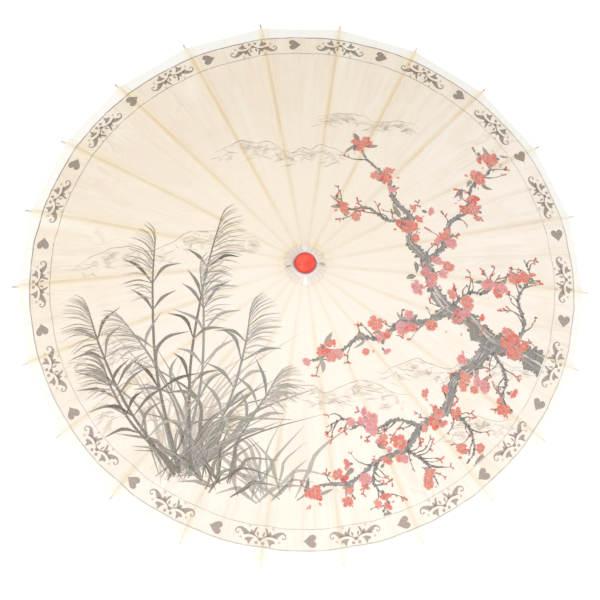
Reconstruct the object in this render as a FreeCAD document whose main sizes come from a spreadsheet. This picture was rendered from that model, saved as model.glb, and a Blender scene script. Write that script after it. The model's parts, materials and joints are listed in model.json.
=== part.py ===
import FreeCAD, Part

import math
import os
import re
import Sketcher

# Oil-paper umbrella, open: twenty-two bamboo ribs hinge on a wire ring in a turned head and
# carry the paper. Twenty-two stretchers prop them from a runner that slides on the shaft.
# The origin is the middle of the handle's straight grip and +Z runs up the shaft to the cap.
# Rib and stretcher are equal links: pivot to pin is as long as pin to runner ring, and both
# rings have one radius, so the runner stays on the shaft at every angle of the ribs.

doc = FreeCAD.newDocument("OilPaperUmbrella")
dims = doc.addObject("Spreadsheet::Sheet", "Dims")

drivingSizes = [
    # linkage: lengths in millimetres, slopes in degrees below the horizontal
    ("rib_count", 22),
    ("pivot_height", 465),
    ("pivot_radius", 16),
    ("link_length", 172),
    ("open_slope", 14),
    ("folded_slope", 86),
    # bamboo rib, bowed by the tight paper
    ("rib_reach", 420),
    ("rib_bend", 14),
    ("rib_depth", 5.2),
    ("rib_neck_width", 2.4),
    ("rib_pin_width", 6.2),
    ("rib_rim_width", 7.2),
    ("rib_tip_size", 1.6),
    ("rib_tip_length", 34),
    ("neck_length", 9),
    # stretcher, its peg and the rib's slot for it, longer than the crossing of the two by a share
    ("stretcher_width", 2.4),
    ("stretcher_depth", 4.4),
    ("stretcher_play", 0.25),
    ("slot_share", 1.4),
    ("pin_diameter", 1.6),
    ("pin_clearance", 0.12),
    # wire rings that hinge the ribs and the stretchers
    ("wire_diameter", 1.6),
    ("wire_clearance", 0.15),
    # slotted head and runner
    ("notch_radius", 20.5),
    ("notch_play", 0.2),
    ("eye_clearance", 0.6),
    ("notch_skirt", 5),
    ("notch_shoulder", 3.6),
    ("notch_crown", 6),
    ("notch_crown_radius", 17),
    # shaft and cap
    ("shaft_diameter", 12.5),
    ("spigot_diameter", 6),
    ("spigot_height", 5.2),
    ("cap_radius", 15.6),
    ("cap_height", 7),
    ("cap_bevel", 1),
    # runner sleeve and the pin that stops the runner at the top
    ("sleeve_radius", 11.5),
    ("sleeve_length", 24),
    ("bore_clearance", 0.3),
    ("stop_pin_diameter", 2),
    ("stop_pin_length", 18),
    # spring catch below the open runner
    ("catch_width", 2.4),
    ("catch_length", 36),
    ("catch_thickness", 4.2),
    ("catch_step", 3.4),
    ("catch_play", 0.3),
    ("catch_travel", 4.4),
    # paper canopy and the pleated collar over its centre
    ("paper_thickness", 0.6),
    ("paper_gap", 0.55),
    ("paper_reach", 410),
    ("paper_start", 5.6),
    ("collar_radius", 30),
    ("collar_thickness", 0.6),
    ("seat_gap", 0.3),
    # turned handle
    ("handle_radius", 10.5),
    ("grip_length", 66),
    ("handle_neck_length", 20),
    ("handle_neck_radius", 8.4),
    ("handle_shoulder", 4),
    ("handle_knob_length", 26),
    ("handle_knob_radius", 10.2),
    ("handle_knob_bevel", 3.2),
    ("handle_groove", 1),
    ("socket_depth", 45),
]
for row, (alias, value) in enumerate(drivingSizes, start=1):
    dims.set(f"A{row}", alias)
    dims.set(f"B{row}", str(value))
    dims.setAlias(f"B{row}", alias)
doc.recompute()


def formula(text):
    """Expression text in which every name with an underscore is a cell of the sheet."""
    return re.sub(r"\b([a-z]+(?:_[a-z]+)+)\b", r"Dims.\1", str(text))


def measure(text):
    """Present value of such a text."""
    return float(dims.evalExpression(formula(text)))


def bind(item, **links):
    """Bind properties to the sheet; a double underscore in a name stands for a dot."""
    for name, text in links.items():
        item.setExpression(name.replace("__", "."), formula(text))


def originPlane(body, role):
    return [feature for feature in body.Origin.OriginFeatures if feature.Role == role][0]


def newBody(name):
    body = doc.addObject("PartDesign::Body", name)
    body.Label = name
    return body


def newSketch(body, name, role="XZ_Plane"):
    sketch = body.newObject("Sketcher::SketchObject", name)
    sketch.AttachmentSupport = [(originPlane(body, role), "")]
    sketch.MapMode = "FlatFace"
    return sketch


def pinPoint(sketch, geometry, position, across, up):
    """Hold one point of a sketch at bound distances from the sketch's origin."""
    for kind, text in (("DistanceX", across), ("DistanceY", up)):
        constraint = Sketcher.Constraint(kind, -1, 1, geometry, position, measure(text))
        index = sketch.addConstraint(constraint)
        sketch.setExpression(f"Constraints[{index}]", formula(text))


def drawOutline(sketch, corners):
    """Closed outline. A corner is (across, up); with two more texts (across, up, viaAcross,
    viaUp) the edge that arrives there is an arc through the second point."""
    places = [FreeCAD.Vector(measure(corner[0]), measure(corner[1]), 0) for corner in corners]
    ends = []
    for index, corner in enumerate(corners):
        start, end = places[index - 1], places[index]
        if len(corner) == 2:
            edge = sketch.addGeometry(Part.LineSegment(start, end), False)
            ends.append((edge, 1, 2))
            continue
        via = FreeCAD.Vector(measure(corner[2]), measure(corner[3]), 0)
        turnsLeft = (via - start).cross(end - via).z > 0
        arc = Part.Arc(start, via, end) if turnsLeft else Part.Arc(end, via, start)
        edge = sketch.addGeometry(arc, False)
        ends.append((edge, 1, 2) if turnsLeft else (edge, 2, 1))
        mark = sketch.addGeometry(Part.Point(via), True)
        sketch.addConstraint(Sketcher.Constraint("PointOnObject", mark, 1, edge))
        pinPoint(sketch, mark, 1, corner[2], corner[3])
    for index, (edge, first, last) in enumerate(ends):
        following, followingFirst, _ = ends[(index + 1) % len(ends)]
        sketch.addConstraint(Sketcher.Constraint("Coincident", edge, last, following, followingFirst))
        pinPoint(sketch, edge, last, corners[index][0], corners[index][1])


def drawPolygon(sketch, across, up, reach, sides):
    """Regular outline whose corners lie on a circle of radius reach, the first one across."""
    angles = [360 / sides * side for side in range(sides)]
    drawOutline(sketch, [
        (f"{across} + ({reach}) * cos({angle})", f"{up} + ({reach}) * sin({angle})")
        for angle in angles
    ])


def pad(body, name, sketch, length):
    feature = body.newObject("PartDesign::Pad", name)
    feature.Profile = sketch
    feature.SideType = "Symmetric"
    bind(feature, Length=length)
    return feature


def pocket(body, name, sketch, length):
    """Cut a sketch to half of the length on either side of its plane."""
    feature = body.newObject("PartDesign::Pocket", name)
    feature.Profile = sketch
    feature.SideType = "Symmetric"
    bind(feature, Length=length)
    return feature


def turn(body, name, sketch, kind="PartDesign::Revolution"):
    """Turn a sketch of the XZ plane once round the Z axis."""
    feature = body.newObject(kind, name)
    feature.Profile = sketch
    feature.ReferenceAxis = (sketch, ["V_Axis"])
    feature.Angle = 360
    return feature


def repeatRound(body, name, feature):
    pattern = body.newObject("PartDesign::PolarPattern", name)
    pattern.Originals = [feature]
    pattern.Axis = (originPlane(body, "Z_Axis"), [""])
    pattern.Angle = 360
    bind(pattern, Occurrences="rib_count")
    body.Tip = pattern
    return pattern


PIN_SIDES = 8  # flats of the steel pins that are driven through the shaft


def crossPin(name, diameter, length, across, up):
    """Steel pin along Y through the point (across, up) of the XZ plane."""
    pin = doc.addObject("Part::Prism", name)
    pin.Label = name
    pin.Polygon = PIN_SIDES
    bind(pin, Circumradius=f"({diameter}) / 2", Height=length)
    pin.Placement = FreeCAD.Placement(
        FreeCAD.Vector(), FreeCAD.Rotation(FreeCAD.Vector(1, 0, 0), 90)
    )
    bind(pin, Placement__Base__x=across, Placement__Base__y=f"({length}) / 2", Placement__Base__z=up)
    return pin


def linkedRound(section, offset=0):
    """Solid that carries a closed section (radius, height) round the shaft in straight runs,
    one from each rib to the next. An offset of a half puts its corners between the ribs."""
    ribCount = int(measure("rib_count"))

    def corner(point, place):
        radius, height = point
        angle = 2 * math.pi * (place + offset) / ribCount
        return FreeCAD.Vector(radius * math.cos(angle), radius * math.sin(angle), height)

    faces = []
    for place in range(ribCount):
        for index, point in enumerate(section):
            before = section[index - 1]
            loop = [
                corner(before, place),
                corner(point, place),
                corner(point, place + 1),
                corner(before, place + 1),
            ]
            faces.append(Part.Face(Part.makePolygon(loop + loop[:1])))
    shell = Part.Shell(faces)
    shell.sewShape()
    return Part.Solid(shell)


HINGE_SIDES = 6  # sides of a wire's section and of the eyes that turn on a wire or a peg
PEG_SIDES = 4  # pegs are split square and driven into square holes
WIRE_EYE = "(wire_diameter / 2 + wire_clearance) / cos(30)"
PEG_EYE = "(pin_diameter / 2 + pin_clearance) / cos(30)"


def hingeWire(height):
    """Wire pulled tight: each run lies along one rib's hinge axis, with its bends between."""
    ribCount = measure("rib_count")
    reach = measure("wire_diameter / 2")
    section = []
    for side in range(HINGE_SIDES):
        angle = 2 * math.pi * side / HINGE_SIDES
        radius = measure("pivot_radius") + reach * math.cos(angle)
        section.append((radius / math.cos(math.pi / ribCount), height + reach * math.sin(angle)))
    return linkedRound(section, 0.5)


def wireRing(name, height):
    ring = doc.addObject("Part::Feature", name)
    ring.Label = name
    ring.Shape = hingeWire(measure(height))
    return ring


# The linkage's own points, in the upright plane through one rib.

RUNNER_HEIGHT = "pivot_height - 2 * link_length * sin(open_slope)"


def ribRise(along):
    """Height of the bowed rib's centre line over its straight line from pivot to pin."""
    bow = f"rib_bend * ({along}) * (link_length - ({along}))"
    return f"{bow} / (rib_reach * (rib_reach - link_length))"


def eyeEnd(centre, half, side):
    """Corners of a rounded end in eighths of a turn, anticlockwise; side is + or -."""
    first, second = ("-", "+") if side == "+" else ("+", "-")
    corner = f"{half} * tan(22.5)"
    return [
        (f"{centre} {side} {corner}", f"{first}{half}"),
        (f"{centre} {side} {half}", f"{first}{corner}"),
        (f"{centre} {side} {half}", f"{second}{corner}"),
        (f"{centre} {side} {corner}", f"{second}{half}"),
    ]


# Ribs.

# distances along the rib where its bow turns; it is straight between them
BOW_STATIONS = [
    "0",
    "link_length",
    "(link_length + rib_reach - rib_tip_length) / 2",
    "rib_reach - rib_tip_length",
]


def bambooRib():
    """One rib: bowed side outline, tapered plan, slot for the stretcher, ring and pin holes."""
    body = newBody("bamboo_rib")
    half = "rib_depth / 2"
    side = newSketch(body, "rib_side")
    underside = [(along, f"{ribRise(along)} - {half}") for along in BOW_STATIONS]
    topside = [(along, f"{ribRise(along)} + {half}") for along in reversed(BOW_STATIONS)]
    tip = [
        ("rib_reach", "-rib_bend - rib_tip_size / 2"),
        ("rib_reach", "-rib_bend + rib_tip_size / 2"),
    ]
    drawOutline(side, underside + tip + topside + eyeEnd("0", half, "-"))
    pad(body, "rib_blank", side, "rib_rim_width")

    plan = newSketch(body, "rib_plan", "XY_Plane")
    drawOutline(plan, [
        ("-2 * rib_depth", "-rib_rim_width"),
        ("rib_reach + rib_depth", "-rib_rim_width"),
        ("rib_reach + rib_depth", "rib_rim_width"),
        ("-2 * rib_depth", "rib_rim_width"),
    ])
    widths = [
        ("-rib_depth", "rib_neck_width"),
        ("neck_length", "rib_neck_width"),
        ("link_length", "rib_pin_width"),
        ("rib_reach - rib_tip_length", "rib_rim_width"),
        ("rib_reach + 1", "rib_tip_size"),
    ]
    rightEdge = [(along, f"-({width}) / 2") for along, width in widths]
    leftEdge = [(along, f"({width}) / 2") for along, width in reversed(widths)]
    drawOutline(plan, rightEdge + leftEdge)
    pocket(body, "rib_taper", plan, "4 * rib_depth + 4 * rib_bend")

    slot = newSketch(body, "rib_slot", "XY_Plane")
    slotHalf = "(stretcher_width / 2 + stretcher_play)"
    halfDepths = "(rib_depth + stretcher_depth) / 2"
    inner = f"(link_length - slot_share * {halfDepths} / sin(2 * open_slope))"
    outer = f"(link_length + slot_share * {halfDepths} / tan(180 - 2 * folded_slope))"
    drawOutline(slot, [
        (inner, f"-{slotHalf}"),
        (outer, f"-{slotHalf}"),
        (outer, slotHalf),
        (inner, slotHalf),
    ])
    pocket(body, "rib_slot_cut", slot, "4 * rib_depth")

    holes = newSketch(body, "rib_holes")
    drawPolygon(holes, "0", "0", WIRE_EYE, HINGE_SIDES)
    drawPolygon(holes, "link_length", "0", "pin_diameter / 2", PEG_SIDES)
    pocket(body, "rib_hole_cut", holes, "2 * rib_rim_width")
    return alongRib(body)


def ribPin():
    """Split-bamboo peg through the rib and the stretcher's eye."""
    body = newBody("rib_pin")
    section = newSketch(body, "rib_pin_section")
    drawPolygon(section, "link_length", "0", "pin_diameter / 2", PEG_SIDES)
    pad(body, "rib_pin_peg", section, "rib_pin_width")
    return alongRib(body)


def alongRib(body):
    """Place a body drawn along X on the open rib, with its origin in the head's ring."""
    body.Placement.Rotation = FreeCAD.Rotation(FreeCAD.Vector(0, 1, 0), measure("open_slope"))
    bind(
        body,
        Placement__Base__x="pivot_radius",
        Placement__Base__z="pivot_height",
        Placement__Rotation__Angle="open_slope",
    )
    return body


def bambooStretcher():
    """One stretcher: a straight strip with round ends, from the runner's ring up to the pin."""
    body = newBody("bamboo_stretcher")
    half = "stretcher_depth / 2"
    side = newSketch(body, "stretcher_side")
    drawOutline(side, eyeEnd("0", half, "-") + eyeEnd("link_length", half, "+"))
    pad(body, "stretcher_blank", side, "stretcher_width")

    holes = newSketch(body, "stretcher_holes")
    drawPolygon(holes, "0", "0", WIRE_EYE, HINGE_SIDES)
    drawPolygon(holes, "link_length", "0", PEG_EYE, HINGE_SIDES)
    pocket(body, "stretcher_hole_cut", holes, "2 * stretcher_width")

    body.Placement.Rotation = FreeCAD.Rotation(FreeCAD.Vector(0, -1, 0), measure("open_slope"))
    bind(
        body,
        Placement__Base__x="pivot_radius",
        Placement__Base__z=RUNNER_HEIGHT,
        Placement__Rotation__Angle="open_slope",
    )
    return body


def placedRound(name, pieces, index):
    """The same pieces again, turned about the shaft to their own place in the round."""
    copy = doc.addObject("Part::Compound", name)
    copy.Label = name
    copy.Links = pieces
    turnAngle = f"360 / rib_count * {index}"
    copy.Placement.Rotation = FreeCAD.Rotation(FreeCAD.Vector(0, 0, 1), measure(turnAngle))
    if index:
        bind(copy, Placement__Rotation__Angle=turnAngle)
    return copy


# Head and runner.


def notchedBody(name, profile, slotTop, slotBottom, linkWidth, ring):
    """Turned wooden piece with one radial slot for each link and the ring's holes across."""
    body = newBody(f"{name}_blank")
    outline = newSketch(body, f"{name}_profile")
    drawOutline(outline, profile)
    turn(body, f"{name}_turned", outline)

    slot = newSketch(body, f"{name}_slot")
    core = "pivot_radius - rib_depth / 2 - eye_clearance"
    drawOutline(slot, [
        (core, slotBottom),
        ("notch_radius + 1", slotBottom),
        ("notch_radius + 1", slotTop),
        (core, slotTop),
    ])
    slotCut = pocket(body, f"{name}_slot_cut", slot, f"{linkWidth} + 2 * notch_play")
    repeatRound(body, f"{name}_slots", slotCut)
    bored = doc.addObject("Part::Cut", name)
    bored.Label = name
    bored.Base = body
    bored.Tool = ring
    return bored, body


def umbrellaHead(ring):
    """Its slots open downwards, so the ribs can hang down round the shaft."""
    bore = "shaft_diameter / 2"
    head, blank = notchedBody(
        "head",
        [
            (bore, "-notch_skirt"),
            ("notch_radius", "-notch_skirt"),
            ("notch_radius", "notch_shoulder"),
            ("notch_crown_radius", "notch_shoulder"),
            ("notch_crown_radius", "notch_crown"),
            (bore, "notch_crown"),
        ],
        "rib_depth / 2 + eye_clearance / 2",
        "-notch_skirt - 1",
        "rib_neck_width",
        ring,
    )
    bind(blank, Placement__Base__z="pivot_height")
    return head


def umbrellaRunner(ring):
    """Its slots open upwards, and a sleeve below them slides on the shaft."""
    bore = "shaft_diameter / 2 + bore_clearance"
    foot = "-notch_crown - sleeve_length"
    runner, blank = notchedBody(
        "runner",
        [
            (bore, foot),
            ("sleeve_radius", foot),
            ("sleeve_radius", "-notch_crown"),
            ("notch_radius", "-notch_crown"),
            ("notch_radius", "notch_skirt"),
            (bore, "notch_skirt"),
        ],
        "notch_skirt + 1",
        "-rib_depth / 2 - eye_clearance / 2",
        "stretcher_width",
        ring,
    )
    bind(blank, Placement__Base__z=RUNNER_HEIGHT)
    return runner


# Shaft, its pins and the catch.

RUNNER_TOP = f"{RUNNER_HEIGHT} + notch_skirt"
RUNNER_FOOT = f"{RUNNER_HEIGHT} - notch_crown - sleeve_length"
STOP_PIN_UP = f"{RUNNER_TOP} + seat_gap + stop_pin_diameter / 2"
CATCH_TOP = f"({RUNNER_FOOT} - seat_gap)"
CATCH_PIN_UP = f"{CATCH_TOP} - catch_length"
SHAFT_FOOT = "grip_length / 2 + handle_neck_length - socket_depth"
HEAD_TOP = "pivot_height + notch_crown"
CATCH_PIN_ACROSS = "shaft_diameter / 2 - catch_play - catch_thickness / 2"
CATCH_EYE = "(pin_diameter / 2 + pin_clearance) / cos(22.5)"
CATCH_PIN_LENGTH = f"2 * sqrt((shaft_diameter / 2)^2 - ({CATCH_PIN_ACROSS} + pin_diameter / 2)^2)"


def shaft():
    """Round wooden shaft with a spigot for the cap and a slot for the catch."""
    body = newBody("shaft")
    radius = "shaft_diameter / 2"
    profile = newSketch(body, "shaft_profile")
    drawOutline(profile, [
        ("0", SHAFT_FOOT),
        (radius, SHAFT_FOOT),
        (radius, HEAD_TOP),
        ("spigot_diameter / 2", HEAD_TOP),
        ("spigot_diameter / 2", f"{HEAD_TOP} + spigot_height"),
        ("0", f"{HEAD_TOP} + spigot_height"),
    ])
    turn(body, "shaft_turned", profile)

    slot = newSketch(body, "catch_slot")
    floor = f"{CATCH_PIN_ACROSS} - catch_thickness / 2 - catch_travel"
    below = f"{CATCH_PIN_UP} - catch_thickness"
    above = f"{CATCH_TOP} + 1"
    drawOutline(slot, [
        (floor, below),
        ("shaft_diameter", below),
        ("shaft_diameter", above),
        (floor, above),
    ])
    pocket(body, "catch_slot_cut", slot, "catch_width + 2 * catch_play")

    holes = newSketch(body, "shaft_pin_holes")
    drawPolygon(holes, "0", STOP_PIN_UP, "stop_pin_diameter / 2", PIN_SIDES)
    drawPolygon(holes, CATCH_PIN_ACROSS, CATCH_PIN_UP, "pin_diameter / 2", PIN_SIDES)
    pocket(body, "shaft_pin_hole_cut", holes, "2 * shaft_diameter")
    return body


def springCatch():
    """Bamboo leaf on a pin in the shaft's slot; its step carries the runner's foot."""
    body = newBody("spring_catch")
    half = "catch_thickness / 2"
    outerFace = f"{CATCH_PIN_ACROSS} + {half}"
    innerFace = f"{CATCH_PIN_ACROSS} - {half}"
    side = newSketch(body, "catch_side")
    drawOutline(side, [
        (innerFace, CATCH_PIN_UP),
        (outerFace, CATCH_PIN_UP, CATCH_PIN_ACROSS, f"{CATCH_PIN_UP} - {half}"),
        (f"{outerFace} + catch_step", f"{CATCH_TOP} - catch_thickness"),
        (f"{outerFace} + catch_step", CATCH_TOP),
        (innerFace, CATCH_TOP),
    ])
    pad(body, "catch_leaf", side, "catch_width")
    hole = newSketch(body, "catch_hole")
    drawPolygon(hole, CATCH_PIN_ACROSS, CATCH_PIN_UP, CATCH_EYE, PIN_SIDES)
    pocket(body, "catch_hole_cut", hole, "2 * catch_width")
    return body


# Handle, cap and collar.


def handle():
    """Turned grip with a groove above its bevelled knob and a sloped shoulder at its neck."""
    body = newBody("handle")
    bore = "shaft_diameter / 2"
    low = "-grip_length / 2"
    neckTop = "grip_length / 2 + handle_neck_length"
    foot = f"{low} - handle_knob_length"
    grooveFloor = "handle_knob_radius - handle_groove"
    knobTop = f"{low} - 2 * handle_groove"
    profile = newSketch(body, "handle_profile")
    drawOutline(profile, [
        (bore, neckTop),
        (bore, SHAFT_FOOT),
        ("0", SHAFT_FOOT),
        ("0", foot),
        ("handle_knob_radius - handle_knob_bevel", foot),
        ("handle_knob_radius", f"{foot} + handle_knob_bevel"),
        ("handle_knob_radius", knobTop),
        (grooveFloor, knobTop),
        (grooveFloor, low),
        ("handle_radius", low),
        ("handle_radius", "grip_length / 2"),
        ("handle_neck_radius", "grip_length / 2 + handle_shoulder"),
        ("handle_neck_radius", neckTop),
    ])
    turn(body, "handle_turned", profile)
    return body


COLLAR_SEAT = f"{HEAD_TOP} + seat_gap"
CAP_SEAT = f"{HEAD_TOP} + collar_thickness + 2 * seat_gap"


def cap():
    """Low cap with a bevelled edge and a blind bore for the shaft's spigot."""
    body = newBody("cap")
    bore = "spigot_diameter / 2"
    boreTop = f"{HEAD_TOP} + spigot_height"
    top = f"{CAP_SEAT} + cap_height"
    profile = newSketch(body, "cap_profile")
    drawOutline(profile, [
        (bore, CAP_SEAT),
        ("cap_radius", CAP_SEAT),
        ("cap_radius", f"{top} - cap_bevel"),
        ("cap_radius - cap_bevel", top),
        ("0", top),
        ("0", boreTop),
        (bore, boreTop),
    ])
    turn(body, "cap_turned", profile)
    return body


def paperPoint(along, lift):
    """Radius and height of a point above the rib's top, at a distance along the rib."""
    above = f"({ribRise(along)} + rib_depth / 2 + ({lift}))"
    radius = f"pivot_radius + ({along}) * cos(open_slope) + {above} * sin(open_slope)"
    height = f"pivot_height - ({along}) * sin(open_slope) + {above} * cos(open_slope)"
    return radius, height


def collar():
    """Thin gathered collar from under the cap down onto the paper round the head."""
    along = "(collar_radius - pivot_radius) / cos(open_slope)"
    _, rimHeight = paperPoint(along, "paper_gap + paper_thickness + seat_gap")
    bore = "shaft_diameter / 2 + bore_clearance"
    bend = "notch_crown_radius + 2 * collar_thickness"
    section = [
        (bore, COLLAR_SEAT),
        (bend, COLLAR_SEAT),
        ("collar_radius", rimHeight),
        ("collar_radius", f"{rimHeight} + collar_thickness"),
        (bend, f"{COLLAR_SEAT} + collar_thickness"),
        (bore, f"{COLLAR_SEAT} + collar_thickness"),
    ]
    cover = doc.addObject("Part::Feature", "collar")
    cover.Label = "collar"
    cover.Shape = linkedRound([(measure(radius), measure(height)) for radius, height in section])
    return cover


# Paper canopy.

def canopy():
    """Tight paper skin: flat between neighbouring ribs, bowed along each rib, open beneath."""
    steps = ["paper_start"] + BOW_STATIONS[1:] + ["paper_reach"]
    outside = [paperPoint(along, "paper_gap + paper_thickness") for along in steps]
    beneath = [paperPoint(along, "paper_gap") for along in reversed(steps)]
    skin = doc.addObject("Part::Feature", "canopy")
    skin.Label = "canopy"
    skin.Shape = linkedRound([(measure(radius), measure(height)) for radius, height in outside + beneath])
    return skin


# Assembly.

ribPieces = [bambooRib(), ribPin()]
stretcherPieces = [bambooStretcher()]
headRing = wireRing("head_ring", "pivot_height")
runnerRing = wireRing("runner_ring", RUNNER_HEIGHT)

nodes = [
    canopy(),
    collar(),
    cap(),
    umbrellaHead(headRing),
    headRing,
    umbrellaRunner(runnerRing),
    runnerRing,
    shaft(),
    crossPin("stop_pin", "stop_pin_diameter", "stop_pin_length", "0", STOP_PIN_UP),
    springCatch(),
    crossPin("catch_pin", "pin_diameter", CATCH_PIN_LENGTH, CATCH_PIN_ACROSS, CATCH_PIN_UP),
    handle(),
]
for index in range(int(measure("rib_count"))):
    nodes.append(placedRound(f"rib_{index + 1:02d}", ribPieces, index))
    nodes.append(placedRound(f"stretcher_{index + 1:02d}", stretcherPieces, index))

doc.recompute()

for item in doc.Objects:
    if "Invalid" in item.State or "Error" in item.State:
        raise RuntimeError(f"{item.Label} did not rebuild: {item.State}")
for node in nodes:
    if node.Shape.isNull() or not node.Shape.isValid():
        raise RuntimeError(f"{node.Label} has no valid shape")

os.makedirs("parts", exist_ok=True)
for node in nodes:
    node.Shape.exportStep(f"parts/{node.Label}.step")
print(f"{len(nodes)} nodes written")
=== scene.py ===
# Oil-paper umbrella: printed paper, gathered collar, domed cap and turned handle over the packed
# frame, with the finish of each bamboo, wood and wire piece. Metres, +Z up the shaft.
import json
import math
from functools import partial
import bmesh
import bpy
import numpy as np
from mathutils import Matrix, Vector


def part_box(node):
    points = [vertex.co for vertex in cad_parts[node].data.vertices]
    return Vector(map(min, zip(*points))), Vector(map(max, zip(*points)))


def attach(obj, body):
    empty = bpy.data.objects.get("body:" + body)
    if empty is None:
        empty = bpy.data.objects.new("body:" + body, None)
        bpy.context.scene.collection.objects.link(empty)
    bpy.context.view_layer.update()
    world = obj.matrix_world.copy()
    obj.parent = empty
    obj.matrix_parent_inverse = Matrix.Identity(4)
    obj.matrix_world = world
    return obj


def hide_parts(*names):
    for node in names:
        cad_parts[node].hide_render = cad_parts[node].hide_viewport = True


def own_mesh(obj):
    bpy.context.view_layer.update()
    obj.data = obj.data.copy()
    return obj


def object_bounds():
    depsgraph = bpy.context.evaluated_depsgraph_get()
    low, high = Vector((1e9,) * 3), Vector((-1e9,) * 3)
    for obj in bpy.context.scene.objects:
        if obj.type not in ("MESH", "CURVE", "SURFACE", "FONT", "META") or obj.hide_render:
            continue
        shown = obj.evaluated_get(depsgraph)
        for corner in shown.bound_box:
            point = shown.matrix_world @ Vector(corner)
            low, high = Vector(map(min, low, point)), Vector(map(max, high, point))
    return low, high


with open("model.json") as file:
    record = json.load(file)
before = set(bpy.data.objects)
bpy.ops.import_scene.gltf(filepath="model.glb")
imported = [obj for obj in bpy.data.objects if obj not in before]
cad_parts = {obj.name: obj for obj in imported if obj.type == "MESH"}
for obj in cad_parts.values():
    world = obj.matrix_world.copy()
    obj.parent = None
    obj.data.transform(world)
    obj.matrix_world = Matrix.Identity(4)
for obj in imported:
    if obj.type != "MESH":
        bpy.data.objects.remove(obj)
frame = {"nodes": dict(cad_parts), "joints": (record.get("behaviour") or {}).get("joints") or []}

cadBox = [list(corner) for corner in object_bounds()]
nodes = frame["nodes"]
ribHinges = sorted(
    (joint for joint in frame["joints"] if joint["child"].startswith("rib_")),
    key=lambda joint: joint["child"],
)
ribCount = len(ribHinges)
ribStep = 2 * math.pi / ribCount  # angle from one rib to the next
halfStep = ribStep / 2
hubRadius = math.hypot(*ribHinges[0]["pos_m"][:2])
hubHeight = ribHinges[0]["pos_m"][2]


# one object from arrays of points and faces; attributes are named arrays, one row per point
def newPiece(name, points, faces, material, attributes=None, smooth=True):
    mesh = bpy.data.meshes.new(name)
    mesh.from_pydata(np.asarray(points, float).tolist(), [], [list(map(int, face)) for face in faces])
    for label, rows in (attributes or {}).items():
        kind, field = ("FLOAT_COLOR", "color") if rows.shape[1] == 4 else ("FLOAT_VECTOR", "vector")
        layer = mesh.attributes.new(label, kind, "POINT")
        layer.data.foreach_set(field, np.ascontiguousarray(rows, np.float32).ravel())
    mesh.polygons.foreach_set("use_smooth", [smooth] * len(mesh.polygons))
    mesh.materials.append(material)
    mesh.update()
    piece = bpy.data.objects.new(name, mesh)
    bpy.context.scene.collection.objects.link(piece)
    return piece


# quads of a grid of rows by columns points; a closed grid joins its last column to its first
def gridFaces(rows, columns, closed=False):
    across = columns if closed else columns - 1
    row, column = np.meshgrid(np.arange(rows - 1), np.arange(across), indexing="ij")
    following = (column + 1) % columns
    corners = (row, column), (row, following), (row + 1, following), (row + 1, column)
    return np.stack([r * columns + c for r, c in corners], -1).reshape(-1, 4)


# unit direction at an angle in plan
def towards(angle):
    return np.array([math.cos(angle), math.sin(angle)])


# matrix that turns rows of plan points by an angle
def turning(angle):
    x, y = towards(angle)
    return np.array([[x, y], [-y, x]])


# sRGB hex colour as linear red, green, blue and an alpha of one
def linear(hexColour):
    parts = [int(hexColour[place:place + 2], 16) / 255 for place in (1, 3, 5)]
    return tuple(p / 12.92 if p <= 0.04045 else ((p + 0.055) / 1.055) ** 2.4 for p in parts) + (1,)


# adds a shader node and gives its first outlet, the outlet that out names, or for None the node;
# a socket among the inputs is linked, any other value is set
def addNode(tree, kind, inputs=None, out=0, **settings):
    made = tree.nodes.new("ShaderNode" + kind)
    for name, value in settings.items():
        setattr(made, name, value)
    for key, value in (inputs or {}).items():
        if isinstance(value, bpy.types.NodeSocket):
            tree.links.new(value, made.inputs[key])
        else:
            made.inputs[key].default_value = value
    return made if out is None or not made.outputs else made.outputs[out]


# lays colours over a tone one after another; before each colour stand the masks whose product
# is its strength
def layOver(add, tone, stains):
    for strength, *masks, shade in stains:
        for mask in masks:
            strength = add("Math", {0: strength, 1: mask}, operation="MULTIPLY")
        over = {0: strength, 6: tone, 7: linear(shade) if isinstance(shade, str) else shade}
        tone = add("Mix", over, data_type="RGBA", out=2)
    return tone


# noise over a place, spread so that low comes out as least and high as most
def mottled(add, place, scale, low, high, least=0.0, most=1.0, detail=2.0, distortion=0.0):
    noise = {"Vector": place, "Scale": scale, "Detail": detail, "Distortion": distortion}
    noise = add("TexNoise", noise)
    return add("MapRange", {0: noise, 1: low, 2: high, 3: least, 4: most})


# a line where the gauge passes its middle value: as strong as depth out to core on both sides,
# and nothing beyond wide
def lineAbout(add, gauge, middle, wide, core, depth, **settings):
    away = add("Math", {0: gauge, 1: middle}, operation="SUBTRACT")
    away = add("Math", {0: away}, operation="ABSOLUTE")
    return add("MapRange", {0: away, 1: wide, 2: core, 4: depth}, **settings)


# how far a place lies in a direction, spread so that low comes out as least and high as most
def towardsSide(add, place, direction, low, high, least=0.0, most=1.0, **settings):
    side = add("VectorMath", {0: place, 1: direction}, operation="DOT_PRODUCT", out="Value")
    return add("MapRange", {0: side, 1: low, 2: high, 3: least, 4: most}, **settings)


# ends a material as one skin with raised relief; distance is the relief's height
def finishSkin(add, tone, roughness, relief, strength, distance):
    bump = add("Bump", {"Strength": strength, "Distance": distance, "Height": relief})
    skin = {"Base Color": tone, "Roughness": roughness, "IOR": 1.5, "Normal": bump}
    add("OutputMaterial", {"Surface": add("BsdfPrincipled", skin)})


# a material or world with no nodes yet, and the function that adds nodes to it
def emptied(owner):
    owner.use_nodes = True
    owner.node_tree.nodes.clear()
    return owner, partial(addNode, owner.node_tree)


def newMaterial(name):
    return emptied(bpy.data.materials.new(name))


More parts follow.
